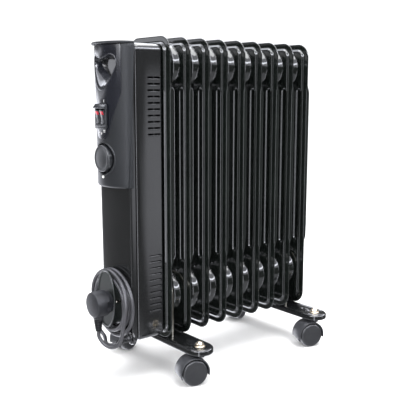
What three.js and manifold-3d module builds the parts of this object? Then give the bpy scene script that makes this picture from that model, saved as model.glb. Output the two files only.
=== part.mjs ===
// Oil filled radiator heater: nine welded steel fins, a control box on one end,
// two pressed feet on twin-wheel casters, and a mains lead wound on the box.
// Millimetres, +Z up. X runs along the row of fins, with the control box at -X,
// Y across the fins, and the origin is on the floor under the middle of the heater.
import * as THREE from 'three';
import { mergeVertices } from 'three/addons/utils/BufferGeometryUtils.js';
import Module from 'manifold-3d';

const wasm = await Module();
wasm.setup();

// ---------------------------------------------------------------- dimensions
const GAP = 0.3;                 // clearance kept between touching pieces
const FIN_COUNT = 9;
const FIN_PITCH = 44;
const FIN_WIDTH = 126;
const FIN_HEIGHT = 550;
const FIN_BOTTOM = 68;
const FIN_RADIUS = 28;
const SHEET = 2.4;               // two seam-welded sheets at the rim
const RIM = 12;                  // flat rim round the oil chamber
const CHAMBER_HALF = 7.5;        // half thickness of the oil chamber
const GROOVE_WIDTH = 14;
const GROOVE_DEPTH = 4.5;
const GROOVE_Y = [-42, -14, 14, 42];
const GROOVE_LOW = 208;
const GROOVE_HIGH = 528;
const HEADER_TOP_Z = 568;
const HEADER_LOW_Z = 142;
const HEADER_BASE_R = 38;
const HEADER_MID_R = 33;
const HEADER_TIP_R = 26.5;
const BORE_R = 14;
const LAST_CAP = 12;             // how far the last fin's blank collars stand out

const BOX_HALF = 49;             // half width of the control box
const BOX_FLOOR = 76;
const BOX_TOP = 604;
const BOX_WALL = 1.5;
const CASING_FRONT = -66;
const CASING_BACK = -CHAMBER_HALF - 0.5;
const COVER_FRONT = -80;
const FASCIA_APEX = -101.2;      // foremost line of the crowned fascia
const FASCIA_CROWN = 18;         // how far the crown falls back at its edges
const FASCIA_FLOOR = 356;
const FASCIA_WALL = 2.4;
const LOUVRE_COUNT = 10;
const LOUVRE_FROM = -39;
const LOUVRE_TO = -13;

const GRIP_TOP = 585;
const GRIP_TIP = 524;
const GRIP_HALF = 35;
const SWITCH_Z = 479;
const ROCKER_Y = 7.9;
const ROCKER_PIVOT_X = -99;
const ROCKER_TILT = 7;
const KNOB_Z = 406;
const KNOB_R = 24;
const LAMP_Z = 374;

const WINDER_Z = 153;
const COIL_Z = 143;
const COIL_OUTER = 64;
const COIL_INNER = 45;
const COIL_FRONT = -97.5;
const COIL_BACK = -80.6;
const CORD = 6.8;
const PLUG_Y = -10;
const PLUG_Z = 150;
const PLUG_R = 23;
const PLUG_BACK = -137;
const PLUG_FACE = -103;
const PLUG_LEAD_X = -124;
const GLAND_Y = -44;
const GLAND_Z = 86;

const FOOT_HALF_LENGTH = 140;
const FOOT_WIDTH = 50;
const FOOT_TOP = 67;
const FOOT_DEPTH = 10;
const FOOT_SHEET = 2.5;
const STEM_Y = 116;
const U_BOLT_R = 34;
const U_BOLT_ROD = 3;
const WHEEL_R = 24;
const WHEEL_INNER = 3.5;         // gap half width between the two wheels
const WHEEL_OUTER = 17.5;
const TRAIL = 14;
const CASTER_TURN = 18;          // degrees that the casters are swung at rest
const AXLE_R = 3;
const STEM_R = 4;

const FOOT_X = [0.5 * FIN_PITCH, (FIN_COUNT - 1.5) * FIN_PITCH];
const LAST_FIN_X = (FIN_COUNT - 1) * FIN_PITCH;

// ------------------------------------------------------------------ helpers
const AXES_YZ = new THREE.Matrix4().makeBasis(
  new THREE.Vector3(0, 1, 0), new THREE.Vector3(0, 0, 1), new THREE.Vector3(1, 0, 0));
const AXES_XZ = new THREE.Matrix4().makeBasis(
  new THREE.Vector3(1, 0, 0), new THREE.Vector3(0, 0, 1), new THREE.Vector3(0, -1, 0));

function polygon(points) {
  return new THREE.Shape(points.map(([u, v]) => new THREE.Vector2(u, v)));
}

function roundRect(u0, v0, u1, v1, r) {
  const shape = new THREE.Shape();
  shape.moveTo(u0 + r, v0);
  shape.lineTo(u1 - r, v0);
  shape.absarc(u1 - r, v0 + r, r, -Math.PI / 2, 0);
  shape.lineTo(u1, v1 - r);
  shape.absarc(u1 - r, v1 - r, r, 0, Math.PI / 2);
  shape.lineTo(u0 + r, v1);
  shape.absarc(u0 + r, v1 - r, r, Math.PI / 2, Math.PI);
  shape.lineTo(u0, v0 + r);
  shape.absarc(u0 + r, v0 + r, r, Math.PI, Math.PI * 1.5);
  return shape;
}

// A long slot or bar outline with blunt round ends, along the second axis.
function barOutline(u, v0, v1, half, arcSteps) {
  const points = [];
  for (let step = 0; step <= arcSteps; step += 1) {
    const turn = (Math.PI * step) / arcSteps;
    points.push([u + half * Math.cos(turn), v1 - half + half * Math.sin(turn)]);
  }
  for (let step = 0; step <= arcSteps; step += 1) {
    const turn = Math.PI + (Math.PI * step) / arcSteps;
    points.push([u + half * Math.cos(turn), v0 + half + half * Math.sin(turn)]);
  }
  return polygon(points);
}

function extrude(shape, depth, segments = 3, bevel = 0) {
  return new THREE.ExtrudeGeometry(shape, {
    depth: depth - 2 * bevel,
    curveSegments: segments,
    bevelEnabled: bevel > 0,
    bevelSize: bevel,
    bevelOffset: -bevel,
    bevelThickness: bevel,
    bevelSegments: 1,
  }).translate(0, 0, bevel);
}

// A shape in (Y, Z) made solid from x0 to x1.
function plateYZ(shape, x0, x1, segments, bevel) {
  return extrude(shape, x1 - x0, segments, bevel).applyMatrix4(AXES_YZ).translate(x0, 0, 0);
}

// A shape in (X, Z) made solid from y0 to y1.
function plateXZ(shape, y0, y1, segments, bevel) {
  return extrude(shape, y1 - y0, segments, bevel).applyMatrix4(AXES_XZ).translate(0, y1, 0);
}

// A shape in (X, Y) made solid from z0 to z1.
function plateXY(shape, z0, z1, segments, bevel) {
  return extrude(shape, z1 - z0, segments, bevel).translate(0, 0, z0);
}

function block(x0, x1, y0, y1, z0, z1) {
  const box = new THREE.BoxGeometry(x1 - x0, y1 - y0, z1 - z0);
  return box.translate((x0 + x1) / 2, (y0 + y1) / 2, (z0 + z1) / 2);
}

// Turned pieces: profile points are [radius, height along the axis].
function turned(profile, segments = 16) {
  const points = profile.map(([r, h]) => new THREE.Vector2(r, h));
  return new THREE.LatheGeometry(points, segments);
}

function turnedX(profile, y, z, segments) {
  return turned(profile, segments).rotateZ(-Math.PI / 2).translate(0, y, z);
}

function turnedZ(profile, x, y, segments) {
  return turned(profile, segments).rotateX(Math.PI / 2).translate(x, y, 0);
}

function rodX(r, x0, x1, y, z, segments = 12) {
  return turnedX([[0, x0], [r, x0], [r, x1], [0, x1]], y, z, segments);
}

function rodZ(r, z0, z1, x, y, segments = 12) {
  return turnedZ([[0, z0], [r, z0], [r, z1], [0, z1]], x, y, segments);
}

function tube(points, radius, sides, steps) {
  const section = new THREE.Shape();
  section.absarc(0, 0, radius, 0, Math.PI * 2);
  const path = new THREE.CatmullRomCurve3(points.map((p) => new THREE.Vector3(...p)));
  return new THREE.ExtrudeGeometry(section, { extrudePath: path, steps, curveSegments: sides });
}

function solid(geometry) {
  const bare = geometry.clone();
  bare.deleteAttribute('normal');
  bare.deleteAttribute('uv');
  const merged = mergeVertices(bare, 1e-4);
  return new wasm.Manifold(new wasm.Mesh({
    numProp: 3,
    vertProperties: new Float32Array(merged.attributes.position.array),
    triVerts: new Uint32Array(merged.index.array),
  }));
}

function join(...geometries) {
  return geometries.map(solid).reduce((all, next) => all.add(next));
}

function cut(body, ...geometries) {
  return geometries.map(solid).reduce((left, next) => left.subtract(next), body);
}

function toGeometry(body) {
  const mesh = body.getMesh();
  const geometry = new THREE.BufferGeometry();
  const positions = [];
  for (let i = 0; i < mesh.vertProperties.length; i += mesh.numProp) {
    positions.push(...mesh.vertProperties.slice(i, i + 3));
  }
  geometry.setAttribute('position', new THREE.Float32BufferAttribute(positions, 3));
  geometry.setIndex(Array.from(mesh.triVerts));
  geometry.computeVertexNormals();
  return geometry;
}

function piece(name, body, material, parent) {
  const geometry = body.isBufferGeometry ? body : toGeometry(body);
  const mesh = new THREE.Mesh(geometry, material);
  mesh.name = name;
  parent.add(mesh);
  return mesh;
}

// ---------------------------------------------------------------- materials
function finish(color, roughness, metalness) {
  return new THREE.MeshStandardMaterial({ color, roughness, metalness });
}
const enamel = finish(0x23272a, 0.18, 0.3);
const blackSheet = finish(0x17181a, 0.2, 0.3);
const fasciaPlastic = finish(0x3a3d42, 0.5, 0);
const glossPlastic = finish(0x2a2d36, 0.12, 0);
const rockerPlastic = finish(0x3b3b40, 0.4, 0);
const lampLens = finish(0xf2f2ee, 0.3, 0);
const winderPlastic = finish(0x55595b, 0.45, 0);
const cordPvc = finish(0x77777d, 0.5, 0);
const plugPvc = finish(0x5a5d63, 0.5, 0);
const rubber = finish(0x1b1c1e, 0.6, 0);
const zinc = finish(0xc9c7be, 0.35, 0.9);
const casterPlastic = finish(0x5c5e63, 0.5, 0);
const innerPlastic = finish(0xd8d3c4, 0.5, 0);
const steel = finish(0x9a9c9e, 0.4, 0.9);

const heater = new THREE.Group();

// --------------------------------------------------------------------- fins
// One fin is two pressed sheets welded round a flat rim. Four long grooves press
// the sheets together between the oil ways, and a dished collar on each side of
// the top and bottom headers meets the next fin's collar halfway.
const DISHED = [[0, 6], [HEADER_BASE_R, 6], [HEADER_BASE_R, CHAMBER_HALF], [HEADER_MID_R, 16],
  [HEADER_TIP_R, FIN_PITCH / 2 - GAP / 2], [0, FIN_PITCH / 2 - GAP / 2]];
// Collars that face the casing are straighter, and the last fin's are blank caps.
const BOXED = [[0, 6], [HEADER_MID_R, 6], [HEADER_TIP_R, FIN_PITCH / 2], [0, FIN_PITCH / 2]];
const BLANK = [[0, 6], [HEADER_BASE_R, 6], [HEADER_BASE_R, CHAMBER_HALF], [HEADER_MID_R, LAST_CAP],
  [0, LAST_CAP]];

function collar(side, z, profile) {
  const shape = turned(profile, 12).rotateZ(-Math.PI / 2);
  if (side < 0) shape.rotateZ(Math.PI);
  return shape.translate(0, 0, z);
}

function fin(nearCollar, farCollar, boreEnd) {
  const half = FIN_WIDTH / 2;
  const top = FIN_BOTTOM + FIN_HEIGHT;
  const outline = roundRect(-half, FIN_BOTTOM, half, top, FIN_RADIUS);
  const inner = roundRect(-half + RIM, FIN_BOTTOM + RIM, half - RIM, top - RIM, FIN_RADIUS - 8);
  let body = join(
    plateYZ(outline, -SHEET / 2, SHEET / 2, 3),
    plateYZ(inner, -CHAMBER_HALF, CHAMBER_HALF, 2, 4),
  );
  for (const y of GROOVE_Y) {
    const groove = barOutline(y, GROOVE_LOW, GROOVE_HIGH, GROOVE_WIDTH / 2, 3);
    body = cut(
      body,
      plateYZ(groove, -CHAMBER_HALF - 1, GROOVE_DEPTH - CHAMBER_HALF),
      plateYZ(groove, CHAMBER_HALF - GROOVE_DEPTH, CHAMBER_HALF + 1),
    );
  }
  for (const z of [HEADER_TOP_Z, HEADER_LOW_Z]) {
    body = body.add(solid(collar(-1, z, nearCollar))).add(solid(collar(1, z, farCollar)));
  }
  return cut(body, rodX(BORE_R, -FIN_PITCH, boreEnd, 0, HEADER_LOW_Z, 8));
}

const fins = Array(FIN_COUNT).fill(toGeometry(fin(DISHED, DISHED, FIN_PITCH)));
fins[0] = toGeometry(fin(BOXED, DISHED, FIN_PITCH));
fins[FIN_COUNT - 1] = toGeometry(fin(DISHED, BLANK, 2));
fins.forEach((geometry, i) => {
  piece(`fin_${i + 1}`, geometry, enamel, heater).position.x = i * FIN_PITCH;
});

// The filler plug closes the oil filling hole in the last fin's top collar.
const fillerStart = LAST_FIN_X + LAST_CAP + GAP;
piece('oil_filler_plug', turnedX([[0, fillerStart], [9, fillerStart], [9, fillerStart + 4],
  [6, fillerStart + 5], [0, fillerStart + 5]], 0, HEADER_TOP_Z, 6), zinc, heater);

// -------------------------------------------------------------- control box
// The casing is a folded sheet tube, louvred top and bottom on both sides.
function casing() {
  const outer = roundRect(-BOX_HALF, BOX_FLOOR, BOX_HALF, BOX_TOP, 12);
  const inner = roundRect(-BOX_HALF + BOX_WALL, BOX_FLOOR + BOX_WALL,
    BOX_HALF - BOX_WALL, BOX_TOP - BOX_WALL, 10.5);
  let body = cut(
    solid(plateYZ(outer, CASING_FRONT, CASING_BACK, 3)),
    plateYZ(inner, CASING_FRONT - 1, CASING_BACK + 1, 3),
  );
  for (let i = 0; i < LOUVRE_COUNT; i += 1) {
    const upper = 447.5 + i * 10.9;
    const lower = 129.5 + i * 11.2;
    for (const z of [upper, lower]) {
      body = cut(body, block(LOUVRE_FROM, LOUVRE_TO, -BOX_HALF - 1, BOX_HALF + 1, z - 1.1, z + 1.1));
    }
  }
  return body;
}
piece('control_box_casing', casing(), blackSheet, heater);

// The end cover is a shallow tray over the open end of the casing. The fascia
// and the cord winder are fixed to it, and the controls pass through its window.
function endCover() {
  const half = BOX_HALF - 1;
  const outer = plateYZ(roundRect(-half, BOX_FLOOR, half, BOX_TOP - 4, 6), COVER_FRONT, CASING_FRONT - GAP, 2);
  const inner = plateYZ(roundRect(-half + 2, BOX_FLOOR + 2, half - 2, BOX_TOP - 6, 4),
    COVER_FRONT + 2, CASING_FRONT + 1, 2);
  return cut(
    solid(outer),
    inner,
    block(COVER_FRONT - 1, COVER_FRONT + 3, -42, 42, 372, 592),
    rodX(6.6, COVER_FRONT - 1, COVER_FRONT + 3, GLAND_Y + 4, GLAND_Z, 10),
  );
}
piece('end_cover', endCover(), blackSheet, heater);

function crownX(y, apex) {
  return apex + FASCIA_CROWN * (y / 48) ** 2;
}

// Plan outline of a crowned front from -half to +half, closed at the line back.
function crownOutline(half, apex, back, steps = 12) {
  const points = [];
  for (let i = 0; i <= steps; i += 1) {
    const y = -half + (2 * half * i) / steps;
    points.push([crownX(y, apex), y]);
  }
  points.reverse();
  points.push([back, -half], [back, half]);
  return polygon(points);
}

function gripOutline(grow) {
  const half = GRIP_HALF + grow;
  const top = GRIP_TOP + grow;
  const tip = GRIP_TIP - grow;
  const shape = new THREE.Shape();
  shape.moveTo(0, top - 7);
  shape.quadraticCurveTo(-half * 0.3, top - 6, -half * 0.6, top - 1);
  shape.quadraticCurveTo(-half, top + 1, -half, top - 20);
  shape.quadraticCurveTo(-half * 0.55, tip + 8, -6, tip + 1);
  shape.quadraticCurveTo(0, tip - 1, 6, tip + 1);
  shape.quadraticCurveTo(half * 0.55, tip + 8, half, top - 20);
  shape.quadraticCurveTo(half, top + 1, half * 0.6, top - 1);
  shape.quadraticCurveTo(half * 0.3, top - 6, 0, top - 7);
  return shape;
}

const switchHole = () => block(-120, -80, -16.9, 16.9, SWITCH_Z - 19.9, SWITCH_Z + 19.9);

// The fascia is a moulded shell with a crowned front, a thin visor along its top
// and skirts over the end cover that taper towards the bottom.
function fascia() {
  const outerHalf = BOX_HALF + 2;
  const shell = plateXY(crownOutline(outerHalf, FASCIA_APEX, CASING_FRONT - GAP), FASCIA_FLOOR, BOX_TOP - 1);
  const visor = plateXY(crownOutline(outerHalf + 1, FASCIA_APEX - 7, -78), BOX_TOP - 2, BOX_TOP + 1.5);
  const hollow = plateXY(crownOutline(outerHalf - FASCIA_WALL, FASCIA_APEX + FASCIA_WALL, -50),
    FASCIA_FLOOR + FASCIA_WALL, BOX_TOP - 1 - FASCIA_WALL);
  const coverRoom = block(COVER_FRONT - GAP, -50, -BOX_HALF + 0.6, BOX_HALF - 0.6, FASCIA_FLOOR - 1, BOX_TOP - 3.4);
  const skirtLine = polygon([[-50, BOX_TOP + 5], [CASING_FRONT - GAP, BOX_TOP + 5],
    [CASING_FRONT - GAP, 590], [COVER_FRONT - 1, FASCIA_FLOOR], [COVER_FRONT - 1, FASCIA_FLOOR - 5],
    [-50, FASCIA_FLOOR - 5]]);
  let body = cut(join(shell, visor), hollow, coverRoom, plateXZ(skirtLine, -60, 60));
  const cup = rodX(29, FASCIA_APEX + 1.5, FASCIA_APEX + 11.5, 0, KNOB_Z, 24);
  body = body.add(solid(cup).intersect(solid(plateXY(
    crownOutline(outerHalf, FASCIA_APEX, -70), FASCIA_FLOOR, BOX_TOP - 1))));
  return cut(
    body,
    rodX(26.5, FASCIA_APEX - 5, FASCIA_APEX + 9.5, 0, KNOB_Z, 24),
    rodX(5, FASCIA_APEX, FASCIA_APEX + 20, 0, KNOB_Z, 12),
    rodX(2.9, FASCIA_APEX - 5, FASCIA_APEX + 8, 0, LAMP_Z, 10),
    plateYZ(gripOutline(0), -120, -85, 4),
    switchHole(),
  );
}
piece('fascia', fascia(), fasciaPlastic, heater);

// A thin gloss panel follows the crown, from the visor down to a blunt point.
function glossPanel() {
  const apex = FASCIA_APEX - GAP;
  const layer = cut(
    solid(plateXY(crownOutline(45, apex - 1.1, -80), 400, BOX_TOP - 2.5)),
    plateXY(crownOutline(46, apex, -70), 399, BOX_TOP),
  );
  const outline = polygon([[-42, 601], [42, 601], [42, 520], [15, 447], [8, 440], [-8, 440],
    [-15, 447], [-42, 520]].reverse());
  return cut(layer.intersect(solid(plateYZ(outline, -120, -75))), plateYZ(gripOutline(0), -120, -75, 4), switchHole());
}
piece('gloss_panel', glossPanel(), glossPlastic, heater);

// The hand grip is a scooped cup behind the opening, deepest under its top lip.
function gripScoop() {
  const shell = solid(plateYZ(gripOutline(2.4), -120, -68, 4))
    .intersect(solid(plateXY(crownOutline(47, FASCIA_APEX + FASCIA_WALL + GAP, -60), 500, 596)));
  const hollow = polygon([[-120, GRIP_TIP - 2], [-98, GRIP_TIP - 2], [-82, 543], [-71, 560], [-71, 600], [-120, 600]]);
  return cut(shell, toGeometry(solid(plateYZ(gripOutline(0.2), -120, -70, 4)).intersect(solid(plateXZ(hollow, -50, 50)))));
}
piece('grip_scoop', gripScoop(), glossPlastic, heater);

// -------------------------------------------------------------- the switches
function switchBody() {
  const flange = plateYZ(roundRect(-18.5, SWITCH_Z - 21.5, 18.5, SWITCH_Z + 21.5, 2), -104.9, -102.9, 1);
  const bodyBlock = block(-103, -84, -16.4, 16.4, SWITCH_Z - 19.4, SWITCH_Z + 19.4);
  const body = join(flange, bodyBlock);
  return cut(
    body,
    block(-110, -90, ROCKER_Y - 7.5, ROCKER_Y + 7.5, SWITCH_Z - 13.2, SWITCH_Z + 13.2),
    block(-110, -90, -ROCKER_Y - 7.5, -ROCKER_Y + 7.5, SWITCH_Z - 13.2, SWITCH_Z + 13.2),
  );
}
piece('switch_body', switchBody(), fasciaPlastic, heater);

// Each rocker is made about its own pivot, and stands tipped with its top out.
for (const [name, y] of [['rocker_switch_1', ROCKER_Y], ['rocker_switch_2', -ROCKER_Y]]) {
  const outline = polygon([[5, -7], [5, 7], [-4, 11.6], [-7.5, 11.6], [-6, 0], [-7.5, -11.6], [-4, -11.6]]);
  const rocker = piece(name, plateXZ(outline, -7.1, 7.1), rockerPlastic, heater);
  rocker.position.set(ROCKER_PIVOT_X, y, SWITCH_Z);
  rocker.rotation.y = THREE.MathUtils.degToRad(-ROCKER_TILT);
}

// ------------------------------------------------------------ the thermostat
piece('thermostat_knob', turnedX([[0, -106], [21, -106], [KNOB_R, -104], [KNOB_R, -94.5], [3, -94.5],
  [3, -89.5], [0, -89.5]], 0, KNOB_Z, 28), fasciaPlastic, heater);
piece('thermostat', join(
  block(-86, -60, -16, 16, KNOB_Z - 20, KNOB_Z + 20),
  rodX(4, -89.2, -85, 0, KNOB_Z, 10),
), innerPlastic, heater);
piece('pilot_lamp', turnedX([[0, -103], [1.6, -103], [2.5, -102.2], [2.5, -94], [0, -94]], 0, LAMP_Z, 10),
  lampLens, heater);

// ------------------------------------------------------- inside the casing
const PLATE_X = -23.6;
piece('mounting_plate', cut(
  solid(plateYZ(roundRect(-46, 80, 46, 600, 8), PLATE_X - 1.5, PLATE_X, 2)),
  rodX(16, PLATE_X - 3, PLATE_X + 1, 0, HEADER_LOW_Z, 12),
), steel, heater);

// A flanged hairpin heating element runs through the bottom header in the oil.
function heatingElement() {
  const far = LAST_FIN_X - 14;
  const bendX = far - 6;
  const pins = [];
  pins.push([-44, 6, HEADER_LOW_Z], [0, 6, HEADER_LOW_Z], [bendX, 6, HEADER_LOW_Z]);
  pins.push([far, 0, HEADER_LOW_Z]);
  pins.push([bendX, -6, HEADER_LOW_Z], [0, -6, HEADER_LOW_Z], [-44, -6, HEADER_LOW_Z]);
  const hairpin = tube(pins, 3.2, 4, 24);
  return join(hairpin, rodX(24, -31, -25.4, 0, HEADER_LOW_Z, 12));
}
piece('heating_element', heatingElement(), steel, heater);
piece('thermal_cutout', turnedX([[0, -37], [8, -37], [8, -30], [12, -29], [12, -25.4], [0, -25.4]], 0, 232, 12),
  innerPlastic, heater);
piece('terminal_block', block(-45, -25.4, -14, 14, 280, 320), innerPlastic, heater);
piece('tip_over_switch', block(-60, -36, -12, 12, 84, 106), innerPlastic, heater);

// ------------------------------------------------------------ the cord winder
// An oval drum on the end cover with a wider face plate, which keeps the lead on
// and has two holes in which the plug is parked.
function winder() {
  const face = plateYZ(barOutline(0, WINDER_Z - 53, WINDER_Z + 53, 29, 8), -101.6, -98.4, 1, 1);
  const drum = plateYZ(barOutline(0, 105, 185, 21, 6), -99, COVER_FRONT - GAP);
  return cut(
    join(face, drum),
    rodX(2.9, -110, -83, PLUG_Y + 9.5, PLUG_Z, 8),
    rodX(2.9, -110, -83, PLUG_Y - 9.5, PLUG_Z, 8),
  );
}
piece('cord_winder', winder(), winderPlastic, heater);

// The turns wound on the drum, as one plain ring.
piece('cord_coil', turned([[COIL_INNER, COIL_FRONT], [COIL_OUTER, COIL_FRONT], [COIL_OUTER, COIL_BACK],
  [COIL_INNER, COIL_BACK], [COIL_INNER, COIL_FRONT]], 28).rotateZ(-Math.PI / 2).translate(0, 0, COIL_Z),
cordPvc, heater);

// The gland holds the lead in the end cover's lower corner, and its boot leans
// towards the drum.
const BOOT_START = new THREE.Vector3(-86, GLAND_Y, GLAND_Z);
const BOOT_WAY = new THREE.Vector3(-0.75, 0.55, -0.37).normalize();
const BOOT_LENGTH = 20;
function gland() {
  const boot = turned([[0, 0], [5.8, 0], [4.4, BOOT_LENGTH], [0, BOOT_LENGTH]], 12);
  boot.applyQuaternion(new THREE.Quaternion().setFromUnitVectors(new THREE.Vector3(0, 1, 0), BOOT_WAY));
  boot.translate(BOOT_START.x, BOOT_START.y, BOOT_START.z);
  const neck = turnedX([[0, -88], [5.8, -88], [5.8, -82.2], [7.5, -82.2], [7.5, COVER_FRONT - GAP],
    [0, COVER_FRONT - GAP]], GLAND_Y, GLAND_Z, 12);
  return join(neck, boot);
}
piece('strain_relief', gland(), rubber, heater);

const bootEnd = BOOT_START.clone().addScaledVector(BOOT_WAY, BOOT_LENGTH + GAP);
const LEAD_IN = [
  [bootEnd.x, bootEnd.y, bootEnd.z],
  [-105.5, -29.5, 75.8],
  [-108.5, -22, 73.6],
  [-108.5, -12, 73],
  [-105, -2, 73.4],
  [-100, 8, 74.8],
  [-96, 18, 77.6],
];
piece('cord_lead_in', tube(LEAD_IN, CORD / 2, 4, 20), cordPvc, heater);

// The plug is parked on the winder, and its lead hangs in one loop to the coil.
function plug() {
  const body = turnedX([[0, PLUG_BACK], [PLUG_R - 3, PLUG_BACK], [PLUG_R, PLUG_BACK + 3],
    [PLUG_R, PLUG_FACE - 8], [PLUG_R - 3, PLUG_FACE - 6], [PLUG_R - 3, PLUG_FACE], [0, PLUG_FACE]],
  PLUG_Y, PLUG_Z, 24);
  const boot = turnedZ([[0, 100], [4.5, 100], [7.5, 124], [9, 134], [0, 134]], PLUG_LEAD_X, PLUG_Y, 12);
  return join(
    body,
    boot,
    rodX(2.4, PLUG_FACE - 2, -84, PLUG_Y + 9.5, PLUG_Z, 8),
    rodX(2.4, PLUG_FACE - 2, -84, PLUG_Y - 9.5, PLUG_Z, 8),
  );
}
piece('mains_plug', plug(), plugPvc, heater);

const LEAD_OUT = [
  [PLUG_LEAD_X, PLUG_Y, 99.2],
  [PLUG_LEAD_X, PLUG_Y - 0.3, 91],
  [-121, -15, 81.5],
  [-116.5, -23, 74.5],
  [-111.5, -33, 73],
  [-107, -43, 77.5],
  [-104, -50.5, 88],
  [-102.2, -54, 101],
  [-101.3, -55.5, 113],
];
piece('cord_lead_out', tube(LEAD_OUT, CORD / 2, 4, 26), cordPvc, heater);

// ------------------------------------------------------------ feet and bolts
function foot(x) {
  const half = FOOT_WIDTH / 2;
  const length = FOOT_HALF_LENGTH;
  const outer = barOutline(x, -length, length, half, 8);
  const inner = barOutline(x, -length + FOOT_SHEET, length - FOOT_SHEET, half - FOOT_SHEET, 8);
  const low = FOOT_TOP - FOOT_DEPTH;
  const holes = [-1, 1].flatMap((side) => [
    rodZ(U_BOLT_ROD + 0.5, low, FOOT_TOP + 1, x, side * U_BOLT_R, 8),
    rodZ(STEM_R + 0.4, low, FOOT_TOP + 1, x, side * STEM_Y, 10),
  ]);
  return cut(
    solid(plateXY(outer, low, FOOT_TOP)),
    plateXY(inner, low - 1, FOOT_TOP - FOOT_SHEET),
    ...holes,
  );
}

// The U-bolt hangs over the bottom collar between two fins and pulls the foot up.
function uBolt(x) {
  const points = [[x, -U_BOLT_R, 52], [x, -U_BOLT_R, 90], [x, -U_BOLT_R, 120]];
  for (let step = 0; step <= 6; step += 1) {
    const turn = Math.PI - (Math.PI * step) / 6;
    points.push([x, U_BOLT_R * Math.cos(turn), HEADER_LOW_Z + U_BOLT_R * Math.sin(turn)]);
  }
  points.push([x, U_BOLT_R, 120], [x, U_BOLT_R, 90], [x, U_BOLT_R, 52]);
  return tube(points, U_BOLT_ROD, 2, 34);
}

function wingNut(x, y) {
  const top = FOOT_TOP - FOOT_SHEET - GAP;
  const wings = block(x - 13, x + 13, y - 1.2, y + 1.2, top - 11, top - 3);
  return cut(join(rodZ(6, top - 7, top, x, y, 10), wings), rodZ(U_BOLT_ROD + GAP, top - 12, top + 1, x, y, 8));
}

// ------------------------------------------------------------------- casters
// Local frame of one caster: stem axis at the origin, floor at zero, wheels
// trailing towards -X, axle along Y.
function casterStem() {
  return turnedZ([[0, 50.5], [STEM_R, 50.5], [STEM_R, 58], [7.5, 59], [7.5, FOOT_TOP - FOOT_SHEET - GAP],
    [STEM_R, FOOT_TOP - FOOT_SHEET - GAP], [STEM_R, 73], [0, 73]], 0, 0, 10);
}

function domeNut() {
  const base = FOOT_TOP + GAP;
  return turnedZ([[STEM_R + GAP, base], [10, base], [10, base + 1.8], [7.5, base + 2.4], [7, base + 6],
    [4.5, base + 8.6], [0, base + 9.4], [0, base + 7], [STEM_R + GAP, base + 7], [STEM_R + GAP, base]], 0, 0, 10);
}

function casterHood() {
  const outline = new THREE.Shape();
  const from = THREE.MathUtils.degToRad(-12);
  const to = THREE.MathUtils.degToRad(192);
  outline.absarc(0, 0, 28, from, to);
  outline.absarc(0, 0, 25.4, to, from, true);
  const shell = plateXZ(outline, -WHEEL_OUTER + 0.5, WHEEL_OUTER - 0.5, 6).translate(-TRAIL, 0, WHEEL_R);
  const web = new THREE.CylinderGeometry(26, 26, 2 * WHEEL_INNER - 1, 14).translate(-TRAIL, 0, WHEEL_R);
  const axle = new THREE.CylinderGeometry(AXLE_R, AXLE_R, 2 * WHEEL_OUTER - 6, 8).translate(-TRAIL, 0, WHEEL_R);
  const boss = rodZ(7, 48.5, 57.5, 0, 0, 12);
  const belowFloorGap = block(-60, 30, -20, 20, -10, 6);
  return cut(join(shell, web, axle, boss), rodZ(STEM_R + GAP, 50.2, 60, 0, 0, 12), belowFloorGap);
}

// Wheels are turned about Y, from the inner face outwards.
function casterWheel(side) {
  const wheel = turned([[AXLE_R + GAP, WHEEL_INNER], [WHEEL_R, WHEEL_INNER],
    [WHEEL_R, WHEEL_OUTER - 2.5], [WHEEL_R - 3, WHEEL_OUTER - 0.4], [0, WHEEL_OUTER],
    [0, WHEEL_OUTER - 2.6], [AXLE_R + GAP, WHEEL_OUTER - 2.6], [AXLE_R + GAP, WHEEL_INNER]], 20);
  if (side < 0) wheel.rotateX(Math.PI);
  return wheel.translate(-TRAIL, 0, WHEEL_R);
}

const CORNERS = [
  ['front_left', FOOT_X[0], -STEM_Y],
  ['front_right', FOOT_X[0], STEM_Y],
  ['rear_left', FOOT_X[1], -STEM_Y],
  ['rear_right', FOOT_X[1], STEM_Y],
];

for (const [place, x] of [['front', FOOT_X[0]], ['rear', FOOT_X[1]]]) {
  piece(`foot_${place}`, foot(x), blackSheet, heater);
  piece(`u_bolt_${place}`, uBolt(x), zinc, heater);
  piece(`wing_nut_${place}_left`, wingNut(x, -U_BOLT_R), zinc, heater);
  piece(`wing_nut_${place}_right`, wingNut(x, U_BOLT_R), zinc, heater);
}

for (const [place, x, y] of CORNERS) {
  const fixed = new THREE.Group();
  fixed.position.set(x, y, 0);
  heater.add(fixed);
  piece(`caster_stem_${place}`, casterStem(), steel, fixed);
  piece(`dome_nut_${place}`, domeNut(), zinc, fixed);
  const swung = new THREE.Group();
  swung.rotation.z = THREE.MathUtils.degToRad(CASTER_TURN) * Math.sign(y);
  fixed.add(swung);
  piece(`caster_hood_${place}`, casterHood(), casterPlastic, swung);
  piece(`caster_wheel_${place}_a`, casterWheel(-1), casterPlastic, swung);
  piece(`caster_wheel_${place}_b`, casterWheel(1), casterPlastic, swung);
}

// The origin is under the middle of the heater, measured without the mains lead.
const frontEnd = FASCIA_APEX - 7;
const backEnd = fillerStart + 5;
heater.position.x = -(frontEnd + backEnd) / 2;

export default heater;
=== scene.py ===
# Oil filled radiator heater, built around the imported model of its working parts.
# Lengths in the sections are millimetres from the middle of the first fin (x), from the
# middle of the row (y) and from the floor (z), as a maker would mark them out.
from math import copysign, cos, exp, hypot, pi, radians, sin, sqrt

import bmesh
import bpy
import numpy as np
from mathutils import Matrix, Vector


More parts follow.
